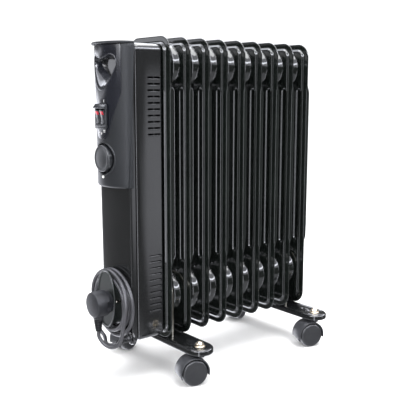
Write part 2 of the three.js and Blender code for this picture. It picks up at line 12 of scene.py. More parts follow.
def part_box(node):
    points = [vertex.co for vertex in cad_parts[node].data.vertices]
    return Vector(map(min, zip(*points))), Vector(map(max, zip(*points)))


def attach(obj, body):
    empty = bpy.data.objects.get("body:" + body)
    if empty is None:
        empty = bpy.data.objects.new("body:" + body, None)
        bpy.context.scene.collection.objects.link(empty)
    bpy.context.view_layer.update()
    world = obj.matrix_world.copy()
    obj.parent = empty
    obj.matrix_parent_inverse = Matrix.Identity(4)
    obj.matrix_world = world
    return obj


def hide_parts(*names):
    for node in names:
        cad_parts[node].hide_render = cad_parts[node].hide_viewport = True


def new_object(name, data):
    """A new object in the scene."""
    made = bpy.data.objects.new(name, data)
    bpy.context.scene.collection.objects.link(made)
    return made


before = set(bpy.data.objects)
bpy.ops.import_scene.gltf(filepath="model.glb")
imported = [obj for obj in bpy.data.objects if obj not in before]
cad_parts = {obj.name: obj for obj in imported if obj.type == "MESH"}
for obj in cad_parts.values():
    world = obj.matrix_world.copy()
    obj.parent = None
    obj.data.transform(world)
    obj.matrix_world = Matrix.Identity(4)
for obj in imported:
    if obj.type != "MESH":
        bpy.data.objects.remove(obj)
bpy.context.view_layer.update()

# ------------------------------------------------------------------ camera
# The view is level with the hand grip, from the corner that has the control box.
MM = 0.001
camera_data = bpy.data.cameras.new("camera")
camera_data.sensor_width = 36
camera_data.lens = 61.6
camera = new_object("camera", camera_data)
camera.location = (-0.8535, -1.0301, 0.5190)
camera.rotation_euler = Vector((0.6245, 0.7656, -0.1545)).to_track_quat("-Z", "Y").to_euler()
bpy.context.scene.camera = camera

# -------------------------------------------------------------------- lead
# The mains lead is 1.45 m of round PVC flex, 6.8 mm thick. It leaves the gland under
# the winder, makes four turns on the drum, then hangs in one loop up to the plug.
fin_middles = [sum(x.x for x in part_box(f"fin_{i}")) / 2 for i in (4, 5)]
FIN_PITCH = (fin_middles[1] - fin_middles[0]) / MM
ROW_START = fin_middles[1] / MM - 4 * FIN_PITCH
LEAD_THICK = 6.8
COIL_MIDDLE_Z = 143
COIL_RADII = (48.7, 60.3)
COIL_LAYERS = (-94, -84.1)


def at(x, y, z):
    """A marked-out point as a place in the frame, in metres."""
    return Vector(((x + ROW_START) * MM, y * MM, z * MM))


def smooth(low, high, value):
    """Runs from 0 to 1 as value goes from low to high, with level ends."""
    t = np.clip((np.asarray(value, float) - low) / (high - low), 0, 1)
    return t * t * (3 - 2 * t)


boot_way = Vector((-0.75, 0.55, -0.37)).normalized()
boot_start = Vector((-86, -44, 86))
boot_end = boot_start + boot_way * 20.3
lead_in = [
    tuple(boot_end),
    (-105.5, -29.5, 75.8),
    (-108.5, -22, 73.6),
    (-108.5, -12, 73),
    (-105, -2, 73.4),
    (-100, 8, 74.8),
    (-96, 18, 77.6),
]
lead_out = [
    (-101.3, -55.5, 113),
    (-102.2, -54, 101),
    (-104, -50.5, 88),
    (-107, -43, 77.5),
    (-111.5, -33, 73),
    (-116.5, -23, 74.5),
    (-121, -15, 81.5),
    (-124, -10.3, 91),
    (-124, -10, 99.2),
]
# The turns as stages: the angle at which each stage is reached, its radius and its layer.
inner_turn, outer_turn = COIL_RADII
front_layer, back_layer = COIL_LAYERS
wound_stages = [
    (286, 67.8, -96),
    (405, outer_turn, back_layer),
    (680, outer_turn, back_layer),
    (745, inner_turn, back_layer),
    (1040, inner_turn, back_layer),
    (1105, inner_turn, front_layer),
    (1400, inner_turn, front_layer),
    (1465, outer_turn, front_layer),
    (1560, outer_turn, front_layer),
    (1640, outer_turn, front_layer - 6),
]


def wound_lead():
    """The points of the turns on the drum, one every 12 degrees."""
    points = []
    for angle in range(300, 1630, 12):
        for (a0, r0, x0), (a1, r1, x1) in zip(wound_stages, wound_stages[1:]):
            if a0 <= angle < a1:
                share = float(smooth(a0, a1, angle))
                radius = r0 + (r1 - r0) * share
                layer = x0 + (x1 - x0) * share
        turn = radians(angle)
        points.append((layer, radius * cos(turn), COIL_MIDDLE_Z + radius * sin(turn)))
    return points


route = [at(*p) for p in lead_in + wound_lead() + lead_out]


def smooth_line(points, steps=6):
    """A Catmull-Rom line through the points, as closely spaced points."""
    line = []
    ends = [points[0] * 2 - points[1]] + points + [points[-1] * 2 - points[-2]]
    for p0, p1, p2, p3 in zip(ends, ends[1:], ends[2:], ends[3:]):
        for step in range(steps):
            t = step / steps
            line.append(0.5 * ((2 * p1) + (p2 - p0) * t + (2 * p0 - 5 * p1 + 4 * p2 - p3) * t * t
                               + (3 * p1 - p0 - 3 * p2 + p3) * t ** 3))
    line.append(points[-1])
    return line


lead_line = smooth_line(route)
lead_curve = bpy.data.curves.new("mains_lead", "CURVE")
lead_curve.dimensions = "3D"
lead_curve.bevel_depth = LEAD_THICK / 2 * MM
lead_curve.bevel_resolution = 5
lead_curve.use_fill_caps = True
lead_spline = lead_curve.splines.new("POLY")
lead_spline.points.add(len(lead_line) - 1)
for point, place in zip(lead_spline.points, lead_line):
    point.co = (*place, 1)
lead_spline.use_smooth = True
mains_lead = new_object("mains_lead", lead_curve)


def linear(hex_colour):
    """An sRGB hex colour as the linear colour that a shader takes."""
    channels = [int(hex_colour[i:i + 2], 16) / 255 for i in (1, 3, 5)]
    return [c / 12.92 if c <= 0.04045 else ((c + 0.055) / 1.055) ** 2.4 for c in channels] + [1]


def add(tree, kind, settings=(), **links):
    """Adds a node. Settings are socket values by name or number, or the node's own values.
    Links are the sockets' names with the outputs that feed them, i0 being socket 0."""
    made = tree.nodes.new("ShaderNode" + kind)
    for name, value in dict(settings).items():
        if isinstance(name, int) or name in made.inputs:
            made.inputs[name].default_value = value
        elif name == "stops":
            for stop, (place, colour) in zip(made.color_ramp.elements, value):
                stop.position = place
                stop.color = colour
        else:
            setattr(made, name, value)
    for name, output in links.items():
        tree.links.new(output, made.inputs[int(name[1:]) if name[0] == "i" else name])
    return made


def new_material(name, spot_mm, dark, light, grain=None, **settings):
    """A material in soft spots of two near shades. The grain is the size and the depth of
    its relief in millimetres, and how much detail that has."""
    made = bpy.data.materials.new(name)
    made.use_nodes = True
    tree = made.node_tree
    shader = tree.nodes["Principled BSDF"]
    for socket, value in settings.items():
        shader.inputs[socket.replace("_", " ")].default_value = value
    place = add(tree, "TexCoord").outputs["Object"]
    spots = add(tree, "TexNoise", {"Scale": 1 / (spot_mm * MM), "Detail": 4.0}, Vector=place)
    stops = [(0.3, linear(dark)), (0.7, linear(light))]
    shades = add(tree, "ValToRGB", {"stops": stops}, Fac=spots.outputs["Fac"])
    tree.links.new(shades.outputs["Color"], shader.inputs["Base Color"])
    if grain:
        size_mm, depth_mm, detail = (*grain, 2.0)[:3]
        relief = add(tree, "TexNoise", {"Scale": 1 / (size_mm * MM), "Detail": detail}, Vector=place)
        bump = add(tree, "Bump", {"Strength": 1.0, "Distance": depth_mm * MM},
                   Height=relief.outputs["Fac"])
        tree.links.new(bump.outputs["Normal"], shader.inputs["Normal"])
    return made


# Soft PVC sheath: extruded, so it is smooth along its length with a dull sheen.
lead_pvc = new_material(
    "soft_pvc_sheath", 30, "#353539", "#434347", grain=(1.6, 0.05), Roughness=0.42, IOR=1.52)
lead_curve.materials.append(lead_pvc)


def stands_for(piece, body, slot, *nodes):
    """The piece moves with a body and is shown instead of the nodes. The slot is not used."""
    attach(piece, body)
    if nodes:
        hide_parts(*nodes)


stands_for(mains_lead, "heater", "cord_pvc", "cord_lead_in", "cord_coil", "cord_lead_out")


# -------------------------------------------------------------------- plug
# The plug is moulded on the lead in grainy grey PVC, parked with its pins in the
# winder. Its sides have a recess for the fingers, and its boot is ribbed to flex.
PLUG_Y, PLUG_Z = -10, 150
PLUG_ROUND = 23
PIN_APART = 9.5
BOOT_X = -124


def piece(name, points, faces, *materials):
    """A mesh piece from marked-out points."""
    mesh = bpy.data.meshes.new(name)
    mesh.from_pydata([at(*p) for p in points], [], faces)
    mesh.polygons.foreach_set("use_smooth", [True] * len(mesh.polygons))
    for material in materials:
        mesh.materials.append(material)
    face_out(mesh)
    return new_object(name, mesh)


def face_out(mesh):
    """Turns every face of a closed mesh outwards."""
    work = bmesh.new()
    work.from_mesh(mesh)
    bmesh.ops.remove_doubles(work, verts=work.verts, dist=0.01 * MM)
    bmesh.ops.recalc_face_normals(work, faces=work.faces)
    work.to_mesh(mesh)
    work.free()


def turned(profile, sides, start=0):
    """Points and faces of a turned solid: radius and height pairs, round the z axis."""
    points, faces = [], []
    for radius, height in profile:
        for i in range(sides):
            turn = 2 * pi * i / sides
            points.append((radius * cos(turn), radius * sin(turn), height))
    for ring in range(len(profile) - 1):
        for i in range(sides):
            a, b = ring * sides + i, ring * sides + (i + 1) % sides
            faces.append((a, b, b + sides, a + sides))
    faces.append(tuple(reversed(range(sides))))
    faces.append(tuple(range((len(profile) - 1) * sides, len(profile) * sides)))
    return points, [tuple(start + i for i in face) for face in faces]


def lathe(name, profile, sides, spot, *materials):
    """A turned piece. Spot says where each point goes, from its two radial parts and height."""
    points, faces = turned(profile, sides)
    return piece(name, [spot(*p) for p in points], faces, *materials)


def along_x(y, z, start=0):
    """Lays a turned piece with its axis along x, through y and z."""
    return lambda u, v, h: (h + start, y + u, z + v)


def modified(target, kind, **settings):
    """Puts a modifier on a piece, and makes it part of the mesh."""
    modifier = target.modifiers.new(kind.lower(), kind)
    for name, value in settings.items():
        setattr(modifier, name, value)
    bpy.context.view_layer.objects.active = target
    bpy.ops.object.modifier_apply(modifier=modifier.name)


def combine(target, operation, *tools):
    """Puts each tool into the target by a boolean, and deletes the tools."""
    for tool in tools:
        modified(target, "BOOLEAN", operation=operation, object=tool, solver="EXACT")
        bpy.data.objects.remove(tool)


def cut(target, *tools):
    """Cuts each tool out of the target."""
    combine(target, "DIFFERENCE", *tools)


def rounded_off(target, width, segments=3, degrees=30):
    """Rounds the edges that are sharper than the given angle."""
    modified(target, "BEVEL", width=width * MM, segments=segments, limit_method="ANGLE",
             angle_limit=radians(degrees))


def merge(*pieces):
    """Several meshes made of one material as one piece."""
    with bpy.context.temp_override(active_object=pieces[0], selected_editable_objects=list(pieces)):
        bpy.ops.object.join()
    return pieces[0]


def edges_sharp(target, degrees=35):
    """Smooth shading everywhere but over edges sharper than the given angle."""
    work = bmesh.new()
    work.from_mesh(target.data)
    for edge in work.edges:
        edge.smooth = len(edge.link_faces) == 2 and edge.calc_face_angle(0) < radians(degrees)
    work.to_mesh(target.data)
    work.free()


def finished(target, material, degrees, slot, *nodes, body="heater"):
    """Gives a piece its one material and its sharp edges, and says what it stands for."""
    target.data.materials.clear()
    target.data.materials.append(material)
    edges_sharp(target, degrees)
    stands_for(target, body, slot, *nodes)


# Moulded PVC takes the grain of a spark-eroded mould, which scatters the light.
plug_pvc = new_material(
    "moulded_pvc", 14, "#15161a", "#1e1f23", grain=(1.6, 0.2, 3.0), Roughness=0.5, IOR=1.42)
boot_pvc = new_material(
    "black_flexible_pvc", 12, "#131416", "#1c1d20", grain=(1.0, 0.06), Roughness=0.48, IOR=1.5)

shell_profile = [
    (0.5, -136.6), (19.6, -136.5), (21.2, -136), (22.1, -134.9), (22.4, -133.2),
    (PLUG_ROUND, -127), (PLUG_ROUND, -113), (22.6, -111.4), (20.6, -109.8), (20, -108),
    (19.9, -104), (19, -103.1), (0.5, -103)]
plug_shell = lathe("plug_shell", shell_profile, 64, along_x(PLUG_Y, PLUG_Z), plug_pvc)
shoulder = lathe(
    "plug_shoulder",
    [(0.5, 122), (9.2, 122), (10, 124), (11.6, 130), (15, 138), (17, 146), (0.5, 146)], 40,
    lambda u, v, h: (-122.5 + u * 0.72, PLUG_Y + v, h), plug_pvc)
for side in (-1, 1):
    cut(plug_shell, lathe(
        "finger_recess", [(0.5, -9), (7, -9), (7, 9), (0.5, 9)], 28,
        lambda u, v, h: (-109.5 + h * 0.9, PLUG_Y + side * 25 + u * 0.95, 148 + v * 1.35)))
rounded_off(plug_shell, 0.7, 2, 40)
merge(plug_shell, shoulder)
edges_sharp(plug_shell)
pin_profile = [(0.4, -84), (1.8, -84.2), (2.4, -85.4), (2.4, -103.5), (0.4, -103.5)]
plug_pins = merge(*[lathe("plug_pin", pin_profile, 20, along_x(PLUG_Y + side * PIN_APART, PLUG_Z))
                    for side in (-1, 1)])
plug_pins.name = "plug_pins"

# The boot: seven ribs that narrow down to the lead, with thin necks between them.
boot_profile = [(3.5, 100)]
for rib in range(7):
    base, wide = 100 + rib * 3.2, 5.6 + rib * 0.42
    boot_profile += [(wide - 1.3, base + 0.2), (wide, base + 0.8), (wide, base + 2.2),
                     (wide - 1.3, base + 2.8)]
boot_profile += [(8.6, 123), (9.4, 125), (9.4, 131), (3.5, 131)]
plug_boot = lathe("plug_boot", boot_profile, 32, lambda u, v, h: (BOOT_X + u, PLUG_Y + v, h), boot_pvc)
edges_sharp(plug_boot, 50)

# Nickel plate on the pins: bright, warmer than chrome.
nickel = new_material("nickel_plate", 5, "#b9b4a8", "#cac6bc", Metallic=1.0, Roughness=0.22)
plug_pins.data.materials.append(nickel)
for part in (plug_shell, plug_boot, plug_pins):
    stands_for(part, "heater", "plug_pvc", "mains_plug")

# The gland is one rubber moulding: a collar in the cover, a neck and a leaning boot.
gland_profile = [(3.5, -0.5), (5.4, 0), (5.8, 1.5)]
for rib in range(5):
    base, wide = 2.6 + rib * 3.4, 5.9 - rib * 0.26
    gland_profile += [(wide - 0.9, base), (wide, base + 0.6), (wide, base + 1.9), (wide - 0.9, base + 2.5)]
gland_profile += [(4.5, 19.4), (3.9, 20.2), (3.4, 20.3)]
lean = Vector((0, 0, 1)).rotation_difference(boot_way)
gland_boot = lathe("gland_boot", gland_profile, 28, lambda *p: boot_start + lean @ Vector(p), boot_pvc)
neck_profile = [(0.5, -88.6), (4, -88.4), (5.4, -87.4), (5.8, -86), (5.8, -82.6), (7.8, -82.2),
                (8.2, -81.4), (8.2, -80.3), (0.5, -80.3)]
gland_neck = lathe("gland_neck", neck_profile, 28, along_x(boot_start.y, boot_start.z), boot_pvc)
lead_gland = merge(gland_boot, gland_neck)
lead_gland.name = "lead_gland"
finished(lead_gland, boot_pvc, 50, "black_rubber", "strain_relief")

# ------------------------------------------------------------ floor and lights
# A matt white floor in a white room, lit softly from above and from the left. What the
# gloss mirrors is a darker studio with pale walls and tubes, so that black stays black.
FLOOR_HALF = 12
floor_points = [(x * FLOOR_HALF, y * FLOOR_HALF, 0) for x, y in ((-1, -1), (1, -1), (1, 1), (-1, 1))]
floor_mesh = bpy.data.meshes.new("floor")
floor_mesh.from_pydata(floor_points, [], [(0, 1, 2, 3)])
floor = new_object("floor", floor_mesh)
floor.visible_glossy = False
paper = new_material("matt_paper", 900, "#f7f7f7", "#fbfbfb", Roughness=0.9)
floor_mesh.materials.append(paper)


def soft_box(name, place, towards, wide, tall, power):
    """A rectangular lamp that the camera doesn't see."""
    lamp_data = bpy.data.lights.new(name, "AREA")
    lamp_data.shape = "RECTANGLE"
    lamp_data.size = wide
    lamp_data.size_y = tall
    lamp_data.energy = power
    lamp = new_object(name, lamp_data)
    lamp.location = place
    lamp.rotation_euler = (Vector(towards) - Vector(place)).to_track_quat("-Z", "Y").to_euler()
    lamp.visible_camera = False


soft_box("overhead", (0.3, -0.2, 2.3), (0, 0, 0.3), 2.2, 1.2, 60)
soft_box("left_window", (-2.3, -0.6, 1.9), (0, 0, 0.45), 0.9, 0.9, 30)
bpy.context.scene.view_settings.view_transform = "Standard"
world = bpy.data.worlds.new("studio")
bpy.context.scene.world = world
world.use_nodes = True
tree = world.node_tree
room = tree.nodes["Background"]
room.inputs["Color"].default_value = linear("#fcfcfd")
room.inputs["Strength"].default_value = 1.25
way = add(tree, "TexCoord")
axes = add(tree, "SeparateXYZ", {}, Vector=way.outputs["Generated"])


def step_of(value, start, end, low=0.0, high=1.0):
    """A smooth step of one node's value, from low at start to high at end."""
    return add(tree, "MapRange", {"interpolation_type": "SMOOTHSTEP", "From Min": start, "From Max": end,
                                  "To Min": low, "To Max": high}, Value=value).outputs[0]


def joined(operation, one, other):
    """Two values in the studio's tree put together by one sum."""
    return add(tree, "Math", {"operation": operation}, i0=one, i1=other).outputs[0]


def facing(x, y, z):
    """How far a ray points in one direction, from -1 to 1."""
    return add(tree, "VectorMath", {"operation": "DOT_PRODUCT", 1: (x, y, z)},
               i0=way.outputs["Generated"]).outputs["Value"]


def combined(operation, *values):
    """Several values in the studio's tree put together one by one."""
    result = values[0]
    for value in values[1:]:
        result = joined(operation, result, value)
    return result


def product(*values):
    """Several values in the studio's tree multiplied together."""
    return combined("MULTIPLY", *values)


# What the gloss mirrors: a lit patch beside the box, a narrow lamp by the viewer, pale
# walls behind, a bright ceiling with a row of tubes, and the floor close underneath.
PATCH_LIGHT, LAMP_LIGHT = 1.45, 6
LEFT_WALL_LIGHT, WALL_LIGHT = 2.0, 3.5
CEILING_LIGHT, TUBE_LIGHT, BACK_CEILING_LIGHT = 2.2, 16, 5
FLOOR_LIGHT, DARK_LIGHT = 0.85, 0.14
ray_x, ray_y, ray_z = (axes.outputs[name] for name in "XYZ")
across = facing(0.73, -0.68, 0)
patch = facing(0.62, -0.775, -0.125)
mirrored_parts = [
    # The patch beside the box, and the narrow lamp.
    step_of(patch, 0.976, 0.9995, 0, PATCH_LIGHT),
    product(step_of(joined("ABSOLUTE", across, across), 0.10, 0.03, 0, LAMP_LIGHT),
            step_of(ray_x, -0.2, -0.4)),
    # The pale walls behind: first the left one, then the middle one.
    product(step_of(ray_x, -0.74, -0.58, 0, LEFT_WALL_LIGHT), step_of(ray_x, -0.36, -0.42),
            step_of(ray_y, 0.2, 0.4), step_of(ray_z, -0.05, 0.0), step_of(ray_z, 0.15, 0.10)),
    product(step_of(ray_x, -0.42, -0.34, 0, WALL_LIGHT), step_of(ray_x, 0.5, 0.3),
            step_of(ray_y, 0.2, 0.4), step_of(ray_z, 0.08, -0.02)),
    # The ceiling in front, its row of tubes, and the ceiling behind.
    product(step_of(ray_z, 0.18, 0.27, 0, CEILING_LIGHT), step_of(ray_y, 0.15, -0.05)),
    product(step_of(ray_z, 0.36, 0.42, 0, TUBE_LIGHT), step_of(ray_z, 0.54, 0.48),
            step_of(ray_y, 0.0, -0.2)),
    product(step_of(ray_z, 0.50, 0.60, 0, BACK_CEILING_LIGHT), step_of(ray_y, 0.0, 0.3)),
    # The floor.
    step_of(ray_z, -0.38, -0.44, 0, FLOOR_LIGHT),
]
total = combined("ADD", *mirrored_parts)
mirrored = add(tree, "Background", {"Color": linear("#f4f6ff")}, Strength=total)
mirrored_base = add(tree, "Background", {"Color": linear("#fcfcfd"), "Strength": DARK_LIGHT})
mirrored_room = add(tree, "AddShader", {}, i0=mirrored.outputs[0], i1=mirrored_base.outputs[0])
light_path = add(tree, "LightPath")
seen = add(tree, "MixShader", {}, i0=light_path.outputs["Is Glossy Ray"], i1=room.outputs[0],
           i2=mirrored_room.outputs[0])
tree.links.new(seen.outputs[0], tree.nodes["World Output"].inputs["Surface"])

# -------------------------------------------------------------------- fins
# Each fin is two sheets of 1.2 mm steel, pressed and seam-welded round the rim, with
# four valleys pressed between the oil ways. Domed collars are welded fin to fin.
FIN_HALF_WIDTH = 63
FIN_LOW, FIN_HIGH = 68, 618
FIN_MIDDLE, FIN_HALF_HEIGHT = (FIN_LOW + FIN_HIGH) / 2, (FIN_HIGH - FIN_LOW) / 2
FIN_CORNER = 28
HALF_SHEET = 1.2
CHAMBER = 5.6
HEADER_Z = 142
COLLAR_ZS = (HEADER_Z, 568)
COLLAR_REACH = FIN_PITCH / 2 - 0.15
COLLAR_FOOT, COLLAR_ROUND = 4.5, 16.5
VALLEY_DEPTH = 4.2
WELD_DOTS = [(side, place) for side in (-1, 1) for place in ((-14, 196), (14, 196), (-28, 188), (28, 188))]
WELD_PROFILE = [(0.1, 0.7), (1.2, 0.62), (2.2, 0.3), (2.9, -0.4), (0.1, -0.4)]
VALLEYS = (-42, -14, 14, 42)
VALLEY_LOW, VALLEY_HIGH, VALLEY_HALF = 208, 528, 7
rim_lines = [0, 0.12, 0.45, 1.0, 1.8, 2.8, 4, 6, 8.5, 10.5, 11.5, 12.5, 13.5, 14.5, 16]


def line_set(low, high, rim, between):
    """Grid lines from low to high: the rim's lines at both ends, and others between."""
    ends = [low + d for d in rim] + [high - d for d in rim]
    inner = [v for v in between if low + rim[-1] + 0.6 < v < high - rim[-1] - 0.6]
    return np.array(sorted(ends + inner))


def listed(*grids):
    """The points of three grids, one for each coordinate."""
    return list(zip(*(grid.ravel().tolist() for grid in grids)))


def grid_faces(rows, columns, start=0):
    """The faces of a grid of points, whose first point has the number start."""
    corner = start + (np.arange(rows - 1)[:, None] * columns + np.arange(columns - 1)[None, :]).ravel()
    return np.stack([corner, corner + 1, corner + columns + 1, corner + columns], 1).tolist()


def rounded(u, v, half_u, half_v, corner):
    """Bends a rectangular grid so that its corners and every line near them are round."""
    p = (np.abs(u) - (half_u - corner)) / corner
    q = (np.abs(v) - (half_v - corner)) / corner
    inside = (p > 0) & (q > 0)
    far = np.where(inside, np.maximum(p, q), 1)
    turn = pi / 4 * np.where(inside, np.minimum(p, q), 0) / far
    turn = np.where(p >= q, turn, pi / 2 - turn)
    bent_u = np.sign(u) * (half_u - corner + corner * far * np.cos(turn))
    bent_v = np.sign(v) * (half_v - corner + corner * far * np.sin(turn))
    return np.where(inside, bent_u, u), np.where(inside, bent_v, v)


def rim_distance(u, v, half_u, half_v, corner):
    """How far inside a rounded rectangle's outline each point lies."""
    p = np.abs(u) - (half_u - corner)
    q = np.abs(v) - (half_v - corner)
    outside = np.hypot(np.maximum(p, 0), np.maximum(q, 0))
    return corner - outside - np.minimum(np.maximum(p, q), 0)


def blended(a, b, reach):
    """The higher of two surfaces, with a fillet where they meet."""
    return np.maximum(a, b) + reach * np.maximum(0, 1 - np.abs(a - b) / reach) ** 2 / 4


def valley_depth(y, z):
    """How far the valleys are pressed in at each point."""
    pressed = np.zeros_like(y)
    for middle in VALLEYS:
        run = np.clip(z, VALLEY_LOW + VALLEY_HALF, VALLEY_HIGH - VALLEY_HALF)
        edge = VALLEY_HALF - np.hypot(y - middle, z - run)
        pressed = np.maximum(pressed, VALLEY_DEPTH * smooth(-1.2, 3.4, edge))
    return pressed


def collar_height(y, z, collar_z, base, reach):
    """A domed collar about one header: nearly upright at its base, flat where it is welded."""
    away = np.hypot(y, z - collar_z)
    rise = np.sqrt(np.maximum(0, 1 - ((away - base) / COLLAR_ROUND + 1).clip(0, 1) ** 2))
    dome = COLLAR_FOOT + (reach - COLLAR_FOOT) * rise
    return np.where(away > base, COLLAR_FOOT - (away - base) * 3, dome)


def face_height(y, z, base, reach):
    """Half the fin's thickness at each point of one of its two sheets."""
    inside = rim_distance(y, z - FIN_MIDDLE, FIN_HALF_WIDTH, FIN_HALF_HEIGHT, FIN_CORNER)
    height = HALF_SHEET * np.sqrt(np.clip(1 - (1 - inside / HALF_SHEET).clip(0, 1) ** 2, 0, 1))
    height = height + (CHAMBER - HALF_SHEET) * smooth(10.2, 14.2, inside)
    height = height - valley_depth(y, z) * smooth(9, 15, inside)
    for collar_z in COLLAR_ZS:
        collar = np.where(inside > 2, collar_height(y, z, collar_z, base, reach), -9)
        height = blended(height, collar, 3.0)
    return height


def fin_mesh(name, near, far):
    """One welded fin, closed all round. Near and far are each collar's base and reach."""
    y_lines = line_set(-FIN_HALF_WIDTH, FIN_HALF_WIDTH, rim_lines, np.arange(-48.5, 49, 1.25))
    z_lines = line_set(FIN_LOW, FIN_HIGH, rim_lines, np.concatenate([
        np.arange(84, 188, 2.2), np.arange(188, 206, 6), np.arange(206, 218, 1.3),
        np.arange(218, 518, 25), np.arange(518, 530, 1.3), np.arange(530, 602, 2.2)]))
    grid_y, grid_z = np.meshgrid(y_lines, z_lines - FIN_MIDDLE, indexing="ij")
    grid_y, grid_z = rounded(grid_y, grid_z, FIN_HALF_WIDTH, FIN_HALF_HEIGHT, FIN_CORNER)
    grid_z = grid_z + FIN_MIDDLE
    # The upright edges are turned over by a few millimetres between the headers.
    turned_over = smooth(205, 222, grid_z) * (1 - smooth(518, 536, grid_z))
    inside = FIN_HALF_WIDTH - np.abs(grid_y)
    lip = 5.0 * turned_over * (1 - inside / 4.2).clip(0, 1) ** 2
    rows, columns = grid_y.shape
    points, faces = [], []
    for side, (base, reach) in ((-1, near), (1, far)):
        height = face_height(grid_y, grid_z, base, reach) * side + lip
        start = len(points)
        points += listed(height, grid_y, grid_z)
        faces += grid_faces(rows, columns, start)
    # Spot welds hold the sheets together just under the outer ends of the valleys.
    for side, (dot_y, dot_z) in WELD_DOTS:
        dot_points, dot_faces = turned(WELD_PROFILE, 14, len(points))
        points += [(side * (CHAMBER + h), dot_y + u, dot_z + v) for u, v, h in dot_points]
        faces += dot_faces
    return piece(name, points, faces)


# Stove enamel: sprayed and baked, so it is glossy with a faint orange peel. The peel is
# 3 mm from crest to crest, and the pigment is a black with a little green in it.
enamel = new_material(
    "stove_enamel", 60, "#121514", "#181c1a",
    grain=(3.0, 0.012, 1.0), Roughness=0.1, IOR=1.5, Coat_Weight=0.4, Coat_Roughness=0.05)

welded = (39, COLLAR_REACH)
middle_fin = None
for number in range(1, 10):
    name = f"pressed_fin_{number}"
    if number == 1:
        fin = fin_mesh(name, (33, COLLAR_REACH), welded)
    elif number == 9:
        fin = fin_mesh(name, welded, (39, 12))
    elif middle_fin is None:
        fin = middle_fin = fin_mesh(name, welded, welded)
    else:
        fin = new_object(name, middle_fin.data)
    if not fin.data.materials:
        fin.data.materials.append(enamel)
        edges_sharp(fin, 60)
    fin.location.x = (number - 1) * FIN_PITCH * MM
    stands_for(fin, "heater", "enamel", f"fin_{number}")

# ----------------------------------------------------------- control box
# The casing is drawn from 1 mm sheet with rounded edges all round, pierced on both
# sides with two rows of pressed louvres, and stoved in the same black as the fins.
BOX_HALF = 49
BOX_FLOOR, BOX_TOP = 76, 604
CASING_FRONT, CASING_BACK = -66, -8
CASING_EDGE = 9
COVER_FRONT = -80
LOUVRES = [447.5 + i * 10.9 for i in range(10)] + [129.5 + i * 11.2 for i in range(10)]
LOUVRE_MIDDLE, LOUVRE_HALF = -26, 13


def ring_outline(half, low, high, corner, steps=8):
    """A rounded rectangle in y and z, anticlockwise, as a list of points."""
    points = []
    for (y, z), first in (((half - corner, high - corner), 0), ((corner - half, high - corner), 90),
                          ((corner - half, low + corner), 180), ((half - corner, low + corner), 270)):
        for step in range(steps + 1):
            turn = radians(first + 90 * step / steps)
            points.append((y + corner * cos(turn), z + corner * sin(turn)))
    return points


def lofted(name, rings, *materials, closed=False):
    """A skin over rings of equal length. The ends are capped unless it closes on itself."""
    count = len(rings[0])
    points = [p for ring in rings for p in ring]
    faces = []
    for r in range(len(rings) if closed else len(rings) - 1):
        for i in range(count):
            a, b = r * count + i, r * count + (i + 1) % count
            c, d = (b + count) % len(points), (a + count) % len(points)
            faces.append((a, b, c, d))
    if not closed:
        faces.append(tuple(range(count)))
        faces.append(tuple(range(len(points) - count, len(points))))
    return piece(name, points, faces, *materials)


def slab(name, line, *xs):
    """A solid through the given x values, from an outline in y and z."""
    return lofted(name, [[(x, y, z) for y, z in line] for x in xs])


def box_ring(x, inset, corner):
    """One ring of the casing: its outline at x, drawn in by inset on every side."""
    return [(x, y, z) for y, z in ring_outline(BOX_HALF - inset, BOX_FLOOR + inset, BOX_TOP - inset, corner)]


def edge_rings(x_edge, inward, radius):
    """The rings of a rounded edge, from its face at x_edge out to its full width."""
    rings = []
    for degrees in range(0, 91, 15):
        turn = radians(degrees)
        inset = radius * (1 - sin(turn))
        rings.append(box_ring(x_edge + inward * radius * (1 - cos(turn)), inset, 12.5 - inset))
    return rings


casing_skin = lofted("casing_skin", edge_rings(CASING_FRONT, 1, CASING_EDGE)
                     + edge_rings(CASING_BACK, -1, 4)[::-1])
cut(casing_skin, slab("casing_room", ring_outline(47.6, 77.4, 602.6, 11), -58, -9.2),
    slab("casing_mouth", ring_outline(38, 88, 592, 2), -70, -57))
slots = []
for z in LOUVRES:
    slot_round = 1.6 if z > 400 else 1.2
    slot_points = []
    for side, first in ((1, -90), (-1, 90)):
        for degrees in range(first, first + 181, 30):
            turn = radians(degrees)
            slot_points.append((LOUVRE_MIDDLE + side * (LOUVRE_HALF - 1.1) + slot_round * cos(turn),
                                z + slot_round * sin(turn)))
    for side in (-1, 1):
        slots.append(lofted("slot", [[(x, side * y, v) for x, v in slot_points] for y in (52, 47.4)]))
cut(casing_skin, merge(*slots))


def louvre_lip(z, side):
    """The pressed lower lip of one louvre: a low swelling, fuller in the lower row."""
    points, faces = [], []
    proud, drop, tall = (0.35, 3.3, 1.3) if z > 400 else (0.95, 2.5, 2.2)
    for i in range(13):
        run = -1 + i / 6
        swell = sqrt(max(0.0, 1 - run ** 4))
        for j in range(7):
            turn = pi * j / 6
            points.append((LOUVRE_MIDDLE + run * 15.2,
                           side * (BOX_HALF - 0.25 + proud * swell * sin(turn)),
                           z - drop + tall * swell * cos(turn)))
    for i in range(12):
        for j in range(6):
            a = i * 7 + j
            faces.append((a, a + 1, a + 8, a + 7))
        faces.append((i * 7, i * 7 + 7, i * 7 + 13, i * 7 + 6))
    return points, faces


casing = merge(casing_skin, *[piece("lip", *louvre_lip(z, side)) for z in LOUVRES for side in (-1, 1)])
casing.name = "casing"
sheet_enamel = new_material(
    "black_sheet_enamel", 80, "#141516", "#191a1b",
    grain=(4.0, 0.008, 1.0), Roughness=0.14, IOR=1.5, Coat_Weight=0.5, Coat_Roughness=0.12)
finished(casing, sheet_enamel, 32, "black_sheet", "control_box_casing")

# The end cover is a shallow pressed tray over the open end of the casing. It leans in
# a little towards its foot, and its edges are rounded by the press.
COVER_HALF = 48


